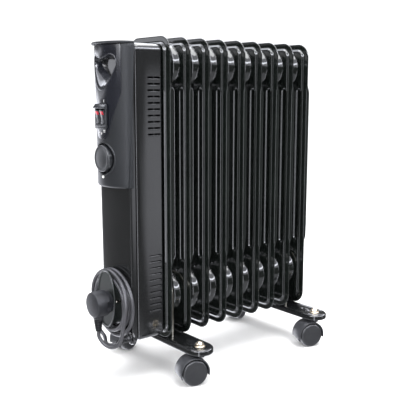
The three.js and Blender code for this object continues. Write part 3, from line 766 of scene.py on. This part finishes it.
def cover_ring(x, inset, corner):
    """One ring of the tray. The tray's face leans back towards its foot."""
    ring = ring_outline(COVER_HALF - inset, BOX_FLOOR + inset, BOX_TOP - 4 - inset, corner)
    return [(x + (3.0 * (1 - (z - BOX_FLOOR) / 274) if x < -72 and z < 350 else 0), y, z)
            for y, z in ring]


cover_rings = [cover_ring(-67, 2, 5), cover_ring(-66.4, 0.6, 6)]
cover_rings += [cover_ring(x, 0, 6.5) for x in (-66.6, -70, -74)]
for degrees in range(0, 91, 18):
    turn = radians(degrees)
    cover_rings.append(cover_ring(COVER_FRONT + 2.5 * (1 - sin(turn)), 2.5 * (1 - cos(turn)), 6.5))
end_cover = lofted("pressed_end_cover", cover_rings)
finished(end_cover, sheet_enamel, 32, "black_sheet", "end_cover")
# A pressed rim stands round the hole that the lead comes out of.
rim_profile = [(8.4, 0), (8.6, -1.0), (9.4, -1.8), (10.4, -2.0), (11.4, -1.6), (12.2, -0.6), (12.6, 0.6),
               (8.4, 0.6)]
gland_rim = lathe("gland_rim", rim_profile, 36,
                  along_x(boot_start.y, boot_start.z, COVER_FRONT + 2.7), sheet_enamel)
stands_for(gland_rim, "heater", "black_sheet")

# ------------------------------------------------------------------ fascia
# The fascia is one ABS moulding: a crowned front that rolls round into thin skirts, with
# a visor along its top. It clips over the end cover and carries all the controls.
FASCIA_HALF = 51
CROWN_FRONT = -101.2
CROWN_FALL, CROWN_HALF = 18, 48
FASCIA_LOW, FASCIA_HIGH = 356, 603
CUP_Z = 406


def crown(y, front=CROWN_FRONT):
    """The x of the crowned front at y."""
    return front + CROWN_FALL * (y / CROWN_HALF) ** 2


def plan_line(half, front, back, roll=13.0, steps=8):
    """The fascia seen from above: skirt, rolled corner, crowned front, and back again."""
    edge = half - roll
    slope = 2 * CROWN_FALL * edge / CROWN_HALF ** 2
    start, end = Vector((back, half)), Vector((crown(edge, front), edge))
    turn = Vector((crown(edge, front) + slope * roll, half))
    skirt_end = Vector((turn.x + 11, half))
    side = [start] + [(1 - t) ** 2 * skirt_end + 2 * t * (1 - t) * turn + t * t * end
                      for t in np.linspace(0, 1, steps + 1).tolist()]
    front_line = [Vector((crown(y, front), y)) for y in np.linspace(edge, -edge, 29).tolist()[1:-1]]
    return side + front_line + [Vector((p.x, -p.y)) for p in reversed(side)]


def skirt_back(z):
    """The skirts' back edge slants forward on its way down."""
    return -66.6 - 14.4 * min(1, max(0, (590 - z) / (590 - FASCIA_LOW)))


def fascia_ring(z, inset=0.0):
    """One level of the fascia's shell, as an outer line and an inner line."""
    back = skirt_back(z)
    outer = plan_line(FASCIA_HALF - inset, CROWN_FRONT + inset, back)
    inner = plan_line(FASCIA_HALF - 2.4 - inset, CROWN_FRONT + 2.4 + inset, back)
    return [(p.x, p.y, z) for p in outer] + [(p.x, p.y, z) for p in reversed(inner)]


def shelf(name, *lines):
    """A solid through outlines seen from above, each given with its height."""
    return lofted(name, [[(p.x, p.y, z) for p in line] for z, line in lines])


levels = [(FASCIA_LOW, 3.0), (FASCIA_LOW + 0.6, 1.6), (FASCIA_LOW + 1.8, 0.6), (FASCIA_LOW + 3.6, 0)]
levels += [(z, 0) for z in np.linspace(FASCIA_LOW + 8, FASCIA_HIGH - 1, 40)] + [(FASCIA_HIGH, 0.4)]
fascia = lofted("moulded_fascia", [fascia_ring(z, inset) for z, inset in levels])
roof_line = plan_line(FASCIA_HALF - 0.5, CROWN_FRONT + 0.5, -67)
roof = shelf("roof", (600.4, roof_line), (603, roof_line))
visor_line = plan_line(FASCIA_HALF + 1, CROWN_FRONT - 7, -67, roll=10)
visor_inset = plan_line(FASCIA_HALF + 0.2, CROWN_FRONT - 6.2, -67, roll=10)
visor = shelf("visor", (601.8, visor_inset), (602.4, visor_line), (604.6, visor_line),
              (605.4, visor_inset))
skirt_floor = plan_line(FASCIA_HALF - 2, CROWN_FRONT + 2, skirt_back(FASCIA_LOW) + 0.2)
bottom = shelf("bottom", (356.4, skirt_floor), (358.4, skirt_floor))


def grip_line(grow):
    """The outline of the hand grip's opening, in y and z: a shield with a sagging top."""
    half, top, tip = 35 + grow, 585 + grow, 524 - grow
    corners = [((0, top - 7), (half * 0.3, top - 6), (half * 0.6, top - 1)),
               ((half * 0.6, top - 1), (half, top + 1), (half, top - 20)),
               ((half, top - 20), (half * 0.55, tip + 8), (6, tip + 1)),
               ((6, tip + 1), (3, tip - 0.2), (0, tip))]
    right = []
    for p0, p1, p2 in corners:
        for t in np.linspace(0, 1, 9)[:-1]:
            right.append(tuple((1 - t) ** 2 * a + 2 * t * (1 - t) * b + t * t * c
                               for a, b, c in zip(p0, p1, p2)))
    return right + [(0, tip)] + [(-y, z) for y, z in reversed(right[1:])]


def through(name, line, back=-86):
    """A cutter through the front, from an outline in y and z."""
    return slab(name, line, -125, back)


def square_line(half_y, half_z, middle_z, corner=1.5):
    """A rounded rectangle about the middle line, in y and z."""
    return ring_outline(half_y, middle_z - half_z, middle_z + half_z, corner, 3)


def round_line(radius, middle_z, steps=64):
    """A circle in y and z."""
    turns = [2 * pi * i / steps for i in range(steps)]
    return [(radius * cos(turn), middle_z + radius * sin(turn)) for turn in turns]


SWITCH_Z, LAMP_Z = 479, 374
cut(fascia, through("grip_cut", grip_line(0)), through("switch_cut", square_line(16.9, 19.9, SWITCH_Z)),
    through("cup_cut", round_line(28.6, CUP_Z)), through("lamp_cut", round_line(2.9, LAMP_Z, 20)))
# The thermostat sits in a dished cup with a raised round rim.
cup_profile = [(2.2, -91.6), (5, -91.6), (5, -93.4), (24, -93.4), (25.6, -93.9), (26.4, -95.2), (26.6, -99.4),
               (26.9, -101.0), (27.6, -102.0), (28.6, -102.3), (29.6, -102.0), (30.3, -101.0), (30.6, -99.0),
               (30.6, -90.6), (2.2, -90.6)]
cup = lathe("cup", cup_profile, 72, along_x(0, CUP_Z))
# The rim follows the crown of the front.
for vertex in cup.data.vertices:
    if vertex.co.x / MM - ROW_START < -98.5:
        vertex.co.x += crown(vertex.co.y / MM, 0) * MM
merge(fascia, roof, visor, bottom, cup)
# Satin ABS: the mould is fine-grained, so the front is dull with a soft broad sheen.
satin_abs = new_material(
    "satin_moulded_abs", 45, "#1a1c1f", "#202225", grain=(0.9, 0.03, 2.0), Roughness=0.46, IOR=1.43)
finished(fascia, satin_abs, 34, "fascia_plastic", "fascia")


# ------------------------------------------------------------- gloss panel
# A polished ABS panel lies on the crown from the visor down to a blunt point. It frames
# the grip and the switches.
def crown_sheet(name, line, front, thick):
    """A thin panel that follows the crown, with the given outline in y and z."""
    ys = np.linspace(-CROWN_HALF, CROWN_HALF, 65)
    rings = [[(crown(y, front), y, z) for y in ys] + [(crown(y, front) + thick, y, z) for y in ys[::-1]]
             for z in (430, 604)]
    sheet = lofted(name, rings)
    combine(sheet, "INTERSECT", through("outline", line, -70))
    return sheet


panel_line = [(42, 600.5), (42, 522), (41, 517), (16.5, 449), (13.5, 443.5), (8, 440.5), (0, 440)]
panel_line = panel_line + [(-y, z) for y, z in reversed(panel_line[:-1])]
gloss_panel = crown_sheet("polished_panel", panel_line, CROWN_FRONT - 1.4, 1.1)
cut(gloss_panel, through("grip_cut", grip_line(0), -70),
    through("switch_cut", square_line(16.9, 19.9, SWITCH_Z), -70))
rounded_off(gloss_panel, 0.5, 3, 50)
# Polished ABS: a mirror-smooth mould leaves it glossy, and a blue-grey tint shows in it.
gloss_abs = new_material(
    "polished_abs", 50, "#0f1118", "#14161e",
    grain=(5.0, 0.01, 1.0), Roughness=0.24, IOR=1.53, Coat_Weight=0.5, Coat_Roughness=0.26)
finished(gloss_panel, gloss_abs, 40, "gloss_plastic", "gloss_panel")
# Small white marks are pad-printed over and under the two switches.
white_ink = new_material("white_pad_print", 3, "#b4b4b4", "#c4c4c4", Roughness=0.5)
mark_places = ((7.9, 505.4, 0.7, 2.2), (-7.9, 505.4, 0.7, 2.2), (7.9, 451.5, 2.4, 0.7),
               (0.5, 449.5, 1.7, 1.7), (-7.9, 452.6, 2.4, 0.7), (-7.9, 455.2, 2.4, 0.7))
marks = []
for middle_y, middle_z, half_y, half_z in mark_places:
    mark_line = [(middle_y + y * half_y, middle_z + z * half_z)
                 for y, z in ((1, 1), (-1, 1), (-1, -1), (1, -1))]
    marks.append(lofted("mark", [[(crown(y, CROWN_FRONT - lift), y, z) for y, z in mark_line]
                                 for lift in (1.2, 1.52)]))
printed_marks = merge(*marks)
printed_marks.name = "printed_marks"
finished(printed_marks, white_ink, 35, "gloss_plastic")

# -------------------------------------------------------------- grip scoop
# A lacquered ABS cup behind the opening, for the fingers: it slopes in from the lower
# point like a tongue, and is deepest under its top lip.
GRIP_RINGS = 22
SCOOP_DEPTH = 27.5
GRIP_Z = 563.0
scoop_rings = []
outline = grip_line(0.2)
for ring in range(GRIP_RINGS + 1):
    share = ring / GRIP_RINGS
    scale = 1 - share * 0.98
    points = []
    for y, z in outline:
        up = (z - 524) / 61
        reach = 0.80 - 0.62 * float(smooth(0.25, 0.95, up))
        depth = SCOOP_DEPTH * float(smooth(0, reach, share)) ** (0.9 + 0.3 * (1 - up))
        ridge = 1.6 * exp(-((share - 0.55) / 0.07) ** 2) * float(smooth(0.6, 0.9, up))
        x = crown(y, CROWN_FRONT - 0.2) * (1 - share) + CROWN_FRONT * share + depth - ridge
        points.append((x, y * scale, GRIP_Z + (z - GRIP_Z) * scale))
    scoop_rings.append(points)
back_rings = [[(x + 2.2, y * 1.04, GRIP_Z + (z - GRIP_Z) * 1.04) for x, y, z in ring]
              for ring in reversed(scoop_rings[2:])]
# Lacquered ABS: the cup is a little paler than the panel, under a clear glossy lacquer.
cup_abs = new_material(
    "lacquered_abs", 50, "#1b1d24", "#212329",
    grain=(5.0, 0.01, 1.0), Roughness=0.24, IOR=1.6, Coat_Weight=1.0, Coat_Roughness=0.13)
grip_scoop = lofted("polished_grip_scoop", scoop_rings + back_rings, closed=True)
finished(grip_scoop, cup_abs, 60, "gloss_plastic", "grip_scoop")
# A rolled lip runs round the opening.
lip_sections = []
for i, (y, z) in enumerate(outline):
    before, after = Vector(outline[i - 1]), Vector(outline[(i + 1) % len(outline)])
    along = (after - before).normalized()
    across = Vector((-along.y, along.x))
    section = []
    for degrees in range(0, 360, 45):
        turn = radians(degrees)
        section.append((crown(y, CROWN_FRONT - 1.0) + 0.9 * sin(turn),
                        y + across.x * cos(turn), z + across.y * cos(turn)))
    lip_sections.append(section)
grip_lip = lofted("grip_lip", lip_sections, gloss_abs, closed=True)
stands_for(grip_lip, "heater", "gloss_plastic")

# ---------------------------------------------------------------- switches
# Two rocker switches in one ABS bezel. Each rocker is a curved key that stands with its
# top out, and has a red window in its upper half.
ROCKER_HALF, ROCKER_Y = 7.1, 7.9
BEZEL_FRONT = -104.9


def bezel_part(name, half, z0, z1, x0, x1, round_off):
    """One bar of the bezel with rounded edges."""
    bar = slab(name, ((-half, z0), (half, z0), (half, z1), (-half, z1)), x0, x1)
    rounded_off(bar, round_off)
    return bar


switch_bezel = bezel_part("switch_bezel", 18.5, SWITCH_Z - 21.5, SWITCH_Z + 21.5, BEZEL_FRONT, -102.6, 0.9)
combine(switch_bezel, "UNION", slab("collar", square_line(16.4, 19.4, SWITCH_Z), -103.2, -84))
for middle in (-ROCKER_Y, ROCKER_Y):
    pocket = [(y + middle, z) for y, z in square_line(7.45, 13.2, SWITCH_Z, 1.0)]
    cut(switch_bezel, slab("pocket", pocket, -112, -89.5))
hood_section = [(-103.6, 13.9), (-108.6, 13.9), (-109.4, 14.6), (-109.2, 15.6), (-105.2, 20.2),
                (-103.6, 20.6)]
hood = lofted("hood", [[(x, y, SWITCH_Z + z) for x, z in hood_section] for y in (-17.2, 17.2)])
rounded_off(hood, 0.5)
sill = bezel_part("sill", 17.2, SWITCH_Z - 17.6, SWITCH_Z - 14.4, -106.2, -103.6, 1.0)
merge(switch_bezel, hood, sill)
satin_key = new_material(
    "satin_key_abs", 20, "#24262a", "#2a2c30", grain=(0.9, 0.02), Roughness=0.24, IOR=1.53)
finished(switch_bezel, satin_key, 38, "fascia_plastic", "switch_body")

# The key's red window is a second shot of clear red polycarbonate.
red_window = new_material("red_polycarbonate", 4, "#9c0d22", "#b0162a", Roughness=0.2, IOR=1.58)
KEY_HALF = 11.6
key_tilt = Matrix.Rotation(radians(-7), 3, "Y")
for number, middle in ((1, ROCKER_Y), (2, -ROCKER_Y)):
    rows, window_rows = [], []
    for height in (-KEY_HALF + 2 * KEY_HALF * i / 24 for i in range(25)):
        front = -5.8 - 1.7 * (height / KEY_HALF) ** 2
        face = front + 0.5 * float(smooth(10.6, KEY_HALF, abs(height)))
        half_row = [(4.6, ROCKER_HALF, height * 0.55), (face + 1.0, ROCKER_HALF, height),
                    (face + 0.3, ROCKER_HALF - 0.3, height), (face, ROCKER_HALF - 1, height)]
        rows.append([(x, -y, z) for x, y, z in half_row] + [(face, 0, height)] + half_row[::-1])
        if 3.8 < height < 10.2:
            half_row = [(front + 0.6, 4.6), (front - 0.35, 4.6), (front - 0.5, 3.9)]
            window_rows.append([(x, -y, height) for x, y in half_row[1:]]
                               + [(x, y, height) for x, y in half_row[::-1]] + [(front + 0.6, -4.6, height)])
    tilted = [[[key_tilt @ Vector(p) + Vector((-99, middle, SWITCH_Z)) for p in row] for row in part_rows]
              for part_rows in (rows, window_rows)]
    key = lofted(f"rocker_key_{number}", tilted[0], satin_key, red_window)
    merge(key, lofted("window", tilted[1], red_window))
    edges_sharp(key, 40)
    stands_for(key, f"rocker_{number}", "rocker_plastic", f"rocker_switch_{number}")

# -------------------------------------------------------------- thermostat
# The dial is a moulded ABS knob with a low crowned face, a rolled edge and fine ribs
# round its side for grip. It sits in the dished cup.
KNOB_RIBS = 60
knob_rings = []
knob_profile = [
    (0.3, -106.0), (6, -105.9), (12, -105.6), (16, -105.2), (18.6, -105.0), (20.2, -105.3),
    (21.4, -105.4), (22.4, -105.0), (23.1, -104.1), (23.4, -102.8), (23.5, -101.5), (23.6, -98.0),
    (23.7, -95.4), (23.0, -94.6), (3.0, -94.6), (2.95, -89.6), (0.3, -89.6)]
for radius, x in knob_profile:
    ring = []
    for i in range(KNOB_RIBS * 4):
        turn = 2 * pi * i / (KNOB_RIBS * 4)
        r = radius + (0.35 * (1 if i % 4 in (0, 1) else -1) if -103.2 < x < -95 and radius > 20 else 0)
        ring.append((x, r * cos(turn), CUP_Z + r * sin(turn)))
    knob_rings.append(ring)
knob = lofted("dial_knob", knob_rings)
knob_abs = new_material(
    "dial_abs", 20, "#1f2124", "#26282b", grain=(0.9, 0.02), Roughness=0.33, IOR=1.53)
finished(knob, knob_abs, 40, "fascia_plastic", "thermostat_knob", body="knob")

# The pilot lamp's lens is opal, and stands just proud of the fascia. Its faint emission is a painted glow:
# the plug is parked in the winder, so the lamp is unlit.
lens_profile = [(0.1, -103.3), (1.2, -103.2), (2.1, -102.7), (2.6, -101.9), (2.7, -101.0), (2.7, -94),
                (0.1, -94)]
pilot_lens = lathe("pilot_lens", lens_profile, 28, along_x(0, LAMP_Z))
# The emission below is a painted glow, not a lit lamp.
painted_glow_opal = new_material("opal_lens_painted_glow", 3, "#dcdcd8", "#e8e8e4", Roughness=0.25, IOR=1.5,
                    Emission_Color=linear("#ffffff"), Emission_Strength=0.12)
finished(pilot_lens, painted_glow_opal, 50, "lamp_lens", "pilot_lamp")

# -------------------------------------------------------- inside the casing
# Behind the louvres: a mounting plate with the thermostat, the element's head, the cut-out and the tip-over
# switch.
# They keep their working shapes. The plate takes the black stoved enamel as painted shade, so the view
# through the louvres stays dark.
# Zinc plate darker than bright zinc, as painted shade: the bolts and parts it covers sit in shade under the
# fins and inside the casing.
zinc = new_material(
    "zinc_plate_painted_shade", 6, "#85827a", "#9d9a90", grain=(1.2, 0.02), Metallic=1.0, Roughness=0.3)
cream_phenolic = new_material(
    "cream_phenolic", 9, "#c9c2ae", "#d6d0be", grain=(1.0, 0.03), Roughness=0.45, IOR=1.55)
# The mounting plate's black enamel is painted shade inside the casing.
for node, material in (("mounting_plate", sheet_enamel), ("heating_element", zinc), ("oil_filler_plug", zinc),
                       ("thermostat", cream_phenolic), ("thermal_cutout", cream_phenolic),
                       ("terminal_block", cream_phenolic), ("tip_over_switch", cream_phenolic)):
    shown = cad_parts[node]
    shown.data.materials.clear()
    shown.data.materials.append(material)
    rounding = shown.modifiers.new("rounding", "BEVEL")
    rounding.width = 0.4 * MM
    rounding.segments = 2
    rounding.limit_method = "ANGLE"
    rounding.angle_limit = radians(40)

# ------------------------------------------------------------- cord winder
# The winder is a dark grey polypropylene moulding: an oval drum with a pointed oval plate
# that keeps the turns on, screwed to the end cover.
PLATE_LOW, PLATE_HIGH, PLATE_HALF = 100, 206, 29
winder_middle = (PLATE_LOW + PLATE_HIGH) / 2


def plate_line(grow):
    """The plate's outline in y and z: straight flanks drawn in to a round nose at each end."""
    points = []
    for i in range(80):
        turn = 2 * pi * i / 80
        c, s = cos(turn), sin(turn)
        wide = abs(c) ** 0.85
        points.append((copysign((PLATE_HALF + grow) * wide, c),
                       winder_middle + (53 + grow) * copysign(abs(s) ** 1.12, s)))
    return points


def drum_line(grow):
    """The drum's outline in y and z."""
    points = []
    for side, first in ((1, 0), (-1, 180)):
        for step in range(17):
            turn = radians(first + 180 * step / 16)
            points.append(((21 + grow) * cos(turn), 145 + side * 19 + (21 + grow) * sin(turn)))
    return points


plate_rings = [[(x, y, z) for y, z in plate_line(grow)] for x, grow in (
    (-100.4, -4.2), (-101.0, -3.4), (-101.6, -2.4), (-101.9, -1.4), (-101.6, -0.5), (-100.9, 0), (-99.4, 0),
    (-98.6, -0.8), (-98.6, -3))]
winder_plate = lofted("winder_plate", plate_rings)
drum = lofted("drum", [[(x, y, z) for y, z in drum_line(grow)] for x, grow in (
    (-99, 1.4), (-97.6, 0.2), (-96, 0), (-84, 0), (-82, 0.8), (-80.4, 2.2))])
combine(winder_plate, "UNION", drum)
for side in (-1, 1):
    cut(winder_plate, lathe("hole", [(2.9, -110), (2.9, -82)], 20,
                            along_x(PLUG_Y + side * PIN_APART, PLUG_Z)))
grey_polypropylene = new_material(
    "grey_polypropylene", 25, "#1c201f", "#242827", grain=(1.0, 0.04), Roughness=0.3, IOR=1.49)
finished(winder_plate, grey_polypropylene, 34, "winder_plastic", "cord_winder")

# ---------------------------------------------------------- feet and bolts
# Each foot is a pressed channel in 2.5 mm sheet with a raised rim and an oval swage
# beside each caster nut. A U-bolt over the bottom collars and two wing nuts hold it.
FOOT_HALF_WIDTH, FOOT_HALF_LENGTH = 25, 140
FOOT_STRAIGHT = FOOT_HALF_LENGTH - FOOT_HALF_WIDTH
FOOT_TOP = 67
BOLT_HALF, BOLT_ROUND = 34, 3
CASTER_Y = 116
foot_rim = [0, 0.3, 0.9, 1.7, 2.6, 3.8, 5.0, 6.2, 7.4, 8.6, 10]


def foot_height(x, y):
    """The top of the foot: a rolled edge, a raised rim, and swages in the floor between."""
    inside = rim_distance(x, y, FOOT_HALF_WIDTH, FOOT_HALF_LENGTH, FOOT_HALF_WIDTH)
    rolled = 2.6 * (1 - np.sqrt(np.clip(1 - (1 - inside / 2.6).clip(0, 1) ** 2, 0, 1)))
    height = FOOT_TOP - rolled + 1.0 * smooth(1.0, 3.2, inside) * (1 - smooth(5.0, 7.4, inside))
    away = np.abs(y)
    slot_run = np.hypot(x, np.clip(away, 84, 96) - away)
    height = height + 1.3 * np.exp(-((slot_run - 5.2) / 1.5) ** 2)
    nut_ring = np.hypot(x, away - CASTER_Y)
    return height + 0.9 * np.exp(-((nut_ring - 14.2) / 1.6) ** 2)


foot_x = line_set(-FOOT_HALF_WIDTH, FOOT_HALF_WIDTH, foot_rim, np.arange(-13.5, 14, 1.5))
foot_y = line_set(-FOOT_HALF_LENGTH, FOOT_HALF_LENGTH, foot_rim, np.concatenate([
    np.arange(-129, -74, 1.7), np.arange(-74, 75, 12), np.arange(75, 129, 1.7)]))
rim_x, rim_y = np.meshgrid(foot_x, foot_y, indexing="ij")
rim_x, rim_y = rounded(rim_x, rim_y, FOOT_HALF_WIDTH, FOOT_HALF_LENGTH, FOOT_HALF_WIDTH)
foot_rows, foot_columns = rim_x.shape
hub_profile = [(3.2, 57.2), (5.4, 57.2), (6.1, 58.4), (6.4, 62), (7.0, 64.1), (3.2, 64.1)]
wing_line = [(4.6, 57.6), (9, 55.2), (12.2, 53.6), (13.4, 55.0), (13.2, 58.6), (11.6, 61.6), (8, 62.6),
             (4.6, 62.4)]
foot_places = {"front": FIN_PITCH / 2, "rear": 7.5 * FIN_PITCH}
for name, middle_x in foot_places.items():
    tops = foot_height(rim_x, rim_y)
    points = listed(rim_x + middle_x, rim_y, tops)
    faces = grid_faces(foot_rows, foot_columns)
    # The walls go down from the outline, turn under, and come back up inside.
    edge = [i * foot_columns for i in range(foot_rows)]
    edge += [(foot_rows - 1) * foot_columns + j for j in range(1, foot_columns)]
    edge += [i * foot_columns + foot_columns - 1 for i in range(foot_rows - 2, -1, -1)]
    edge += [j for j in range(foot_columns - 2, 0, -1)]
    outline = [points[i] for i in edge]
    last = edge
    for inset, z in ((0, 60), (0, 58), (0.3, 57.3), (1.2, 57), (2.2, 57.2), (2.5, 58), (2.5, FOOT_TOP - 2.5)):
        ring = []
        for x, y, _ in outline:
            hub = Vector((middle_x, min(max(y, -FOOT_STRAIGHT), FOOT_STRAIGHT)))
            out = (Vector((x, y)) - hub).normalized() * inset
            ring.append(len(points))
            points.append((x - out.x, y - out.y, z))
        faces += [(last[i - 1], last[i], ring[i], ring[i - 1]) for i in [*range(1, len(ring)), 0]]
        last = ring
    faces.append(tuple(last))
    foot = piece(f"pressed_foot_{name}", points, faces)
    finished(foot, sheet_enamel, 50, "black_sheet", f"foot_{name}")

    # The bolt is 6 mm zinc plated rod, bent to a half circle.
    rod_line = [(-BOLT_HALF, z) for z in np.linspace(52, HEADER_Z, 7)[:-1]]
    rod_line += [(-BOLT_HALF * cos(t), HEADER_Z + BOLT_HALF * sin(t))
                 for t in np.linspace(0, pi, 25)]
    rod_line += [(BOLT_HALF, z) for z in np.linspace(HEADER_Z, 52, 7)[1:]]
    rod_rings = []
    for i, (y, z) in enumerate(rod_line):
        before, after = rod_line[max(i - 1, 0)], rod_line[min(i + 1, len(rod_line) - 1)]
        along = Vector((after[0] - before[0], after[1] - before[1])).normalized()
        rod_rings.append([(middle_x + BOLT_ROUND * cos(a), y - along.y * BOLT_ROUND * sin(a),
                           z + along.x * BOLT_ROUND * sin(a))
                          for a in np.linspace(0, 2 * pi, 17)[:-1]])
    u_bolt = lofted(f"bent_u_bolt_{name}", rod_rings)
    finished(u_bolt, zinc, 50, "zinc", f"u_bolt_{name}")
    for side, which in ((-1, "left"), (1, "right")):
        hub = lathe(f"pressed_wing_nut_{name}_{which}", hub_profile, 24,
                    lambda u, v, h: (middle_x + u, side * BOLT_HALF + v, h))
        wings = [lofted("wing", [[(middle_x + turned_to * x, side * BOLT_HALF + y, z) for x, z in wing_line]
                                 for y in (-1.1, 1.1)]) for turned_to in (-1, 1)]
        for wing in wings:
            rounded_off(wing, 0.5, 2)
        merge(hub, *wings)
        finished(hub, zinc, 38, "zinc", f"wing_nut_{name}_{which}")

# ----------------------------------------------------------------- casters
# A caster has two nylon wheels on one axle either side of a web, under a moulded hood,
# and swivels on a steel stem. A flanged cap nut holds the stem to the foot.
WHEEL_ROUND = 24
TRAIL = 14
WEB_ROUND = 25.8
CASTER_SWING = 18
nylon = new_material(
    "moulded_nylon", 18, "#313236", "#3a3b3f", grain=(1.0, 0.04), Roughness=0.42, IOR=1.53)
dark_nylon = new_material(
    "dark_moulded_nylon", 18, "#222326", "#2a2b2e", grain=(1.0, 0.04), Roughness=0.42, IOR=1.53)
tread_nylon = new_material(
    "black_nylon_tread", 10, "#0f1011", "#16171a", grain=(1.2, 0.08), Roughness=0.5, IOR=1.53)
cap_zinc = new_material(
    "yellow_zinc_plate", 5, "#cdbfa6", "#e6dccb", grain=(1.0, 0.02), Metallic=1.0, Roughness=0.28)
# One wheel's section from its inner face outwards: web, tread, rolled shoulder, dished cap.
wheel_profile = [
    (3.4, 4.2), (10, 4.2), (12, 3.8), (20.6, 3.7), (22.4, 3.6), (23.5, 4.2), (23.9, 5.2), (WHEEL_ROUND, 7),
    (WHEEL_ROUND, 13), (23.8, 14.6), (23.2, 15.8), (22.2, 16.7), (21.0, 17.2), (19.6, 17.4), (18.6, 17.3),
    (14, 17.0), (8, 16.8), (3, 16.7), (0.4, 16.7), (0.4, 13), (3.4, 13)]
axle_profile = [(0.3, -14.3), (2.6, -14.3), (2.9, -13.9), (2.9, 13.9), (2.6, 14.3), (0.3, 14.3)]
boss_profile = [(4.5, 46.5), (8.6, 48.4), (7.6, 50.4), (7.1, 53), (7, 56.6), (6.4, 57.3), (4.5, 57.3)]
stem_profile = [(0.4, 50.6), (3.6, 50.6), (4, 51.2), (4, 58), (7.2, 58.6), (7.5, 59.4), (7.5, 64.1),
                (4, 64.1), (4, 72.8), (0.4, 72.8)]
# The cap nut's levels: height, radius, and how far the level is a hexagon.
NUT_LEVELS = (
    (67.3, 4.3, 0), (67.3, 9.6, 0), (67.8, 10.1, 0), (68.6, 10.0, 0), (69.2, 9.0, 0), (69.4, 7.6, 1),
    (73.0, 7.6, 1), (73.8, 7.0, 0.4), (74.2, 5.6, 0), (76.2, 4.6, 0), (77.2, 3.0, 0), (77.6, 0.3, 0))
# The hood's section from behind, in radius and width: a band with rolled rims.
hood_profile = [(25.6, 16.0), (26.0, 16.7), (26.8, 17.0), (27.5, 16.8), (28.0, 16.0)]
for place_name, sign_y in (("front_left", -1), ("front_right", 1), ("rear_left", -1), ("rear_right", 1)):
    stem_x = foot_places[place_name.split("_")[0]]
    swing = Matrix.Rotation(radians(CASTER_SWING * sign_y), 3, "Z")
    stem_at = Vector((stem_x, sign_y * CASTER_Y, 0))

    def swung(x, y, z):
        """A caster's point turned to where the caster stands. Casters trail towards -x."""
        return tuple(stem_at + swing @ Vector((x, y, z)))

    def rolled(side):
        """Lays a turned piece with its axis along the wheels' axle."""
        return lambda u, v, h: swung(u - TRAIL, side * h, v + WHEEL_ROUND)

    for letter, side in (("a", 1), ("b", -1)):
        wheel = lathe(f"nylon_wheel_{place_name}_{letter}", wheel_profile, 64, rolled(side),
                      dark_nylon, tread_nylon)
        for face in wheel.data.polygons:
            local = swing.inverted() @ (face.center / MM - Vector((ROW_START, 0, 0)) - stem_at)
            if 4.6 < abs(local.y) < 14.8 and hypot(local.x + TRAIL, local.z - WHEEL_ROUND) > 23:
                face.material_index = 1
        edges_sharp(wheel, 40)
        stands_for(wheel, f"wheel_{place_name}_{letter}", "caster_plastic",
                   f"caster_wheel_{place_name}_{letter}")

    band = hood_profile + [(r, -w) for r, w in reversed(hood_profile)] + [(25.4, -15), (25.4, 15)]
    hood_rings = []
    for degrees in range(-12, 193, 6):
        turn = radians(degrees)
        hood_rings.append([swung(r * cos(turn) - TRAIL, w, WHEEL_ROUND + r * sin(turn))
                           for r, w in band])
    caster_hood = lofted(f"nylon_hood_{place_name}", hood_rings)
    web_turns = [radians(degrees) for degrees in range(-40, 221, 8)]
    web = lofted("web", [[rolled(1)(WEB_ROUND * cos(turn), WEB_ROUND * sin(turn), w)
                          for turn in web_turns] for w in (-2.9, 2.9)])
    merge(caster_hood, web, lathe("axle", axle_profile, 20, rolled(1)),
          lathe("boss", boss_profile, 28, swung))
    finished(caster_hood, nylon, 38, "caster_plastic", f"caster_hood_{place_name}",
             body=f"swivel_{place_name}")
    stem = lathe(f"turned_stem_{place_name}", stem_profile, 28, swung)
    finished(stem, zinc, 38, "steel", f"caster_stem_{place_name}")

    # The cap nut: a flange, six flats with chamfered corners, and a domed cap.
    nut_rings = []
    for z, radius, hexagonal in NUT_LEVELS:
        ring = []
        for i in range(48):
            turn = 2 * pi * i / 48
            flat = 0.9 * radius / cos((turn + pi / 6) % (pi / 3) - pi / 6)
            r = radius + (flat - radius) * hexagonal
            ring.append(swung(r * cos(turn), r * sin(turn), z))
        nut_rings.append(ring)
    cap_nut = lofted(f"flanged_cap_nut_{place_name}", nut_rings)
    finished(cap_nut, cap_zinc, 25, "zinc", f"dome_nut_{place_name}")

# ------------------------------------------------------------------- update
bpy.context.view_layer.update()
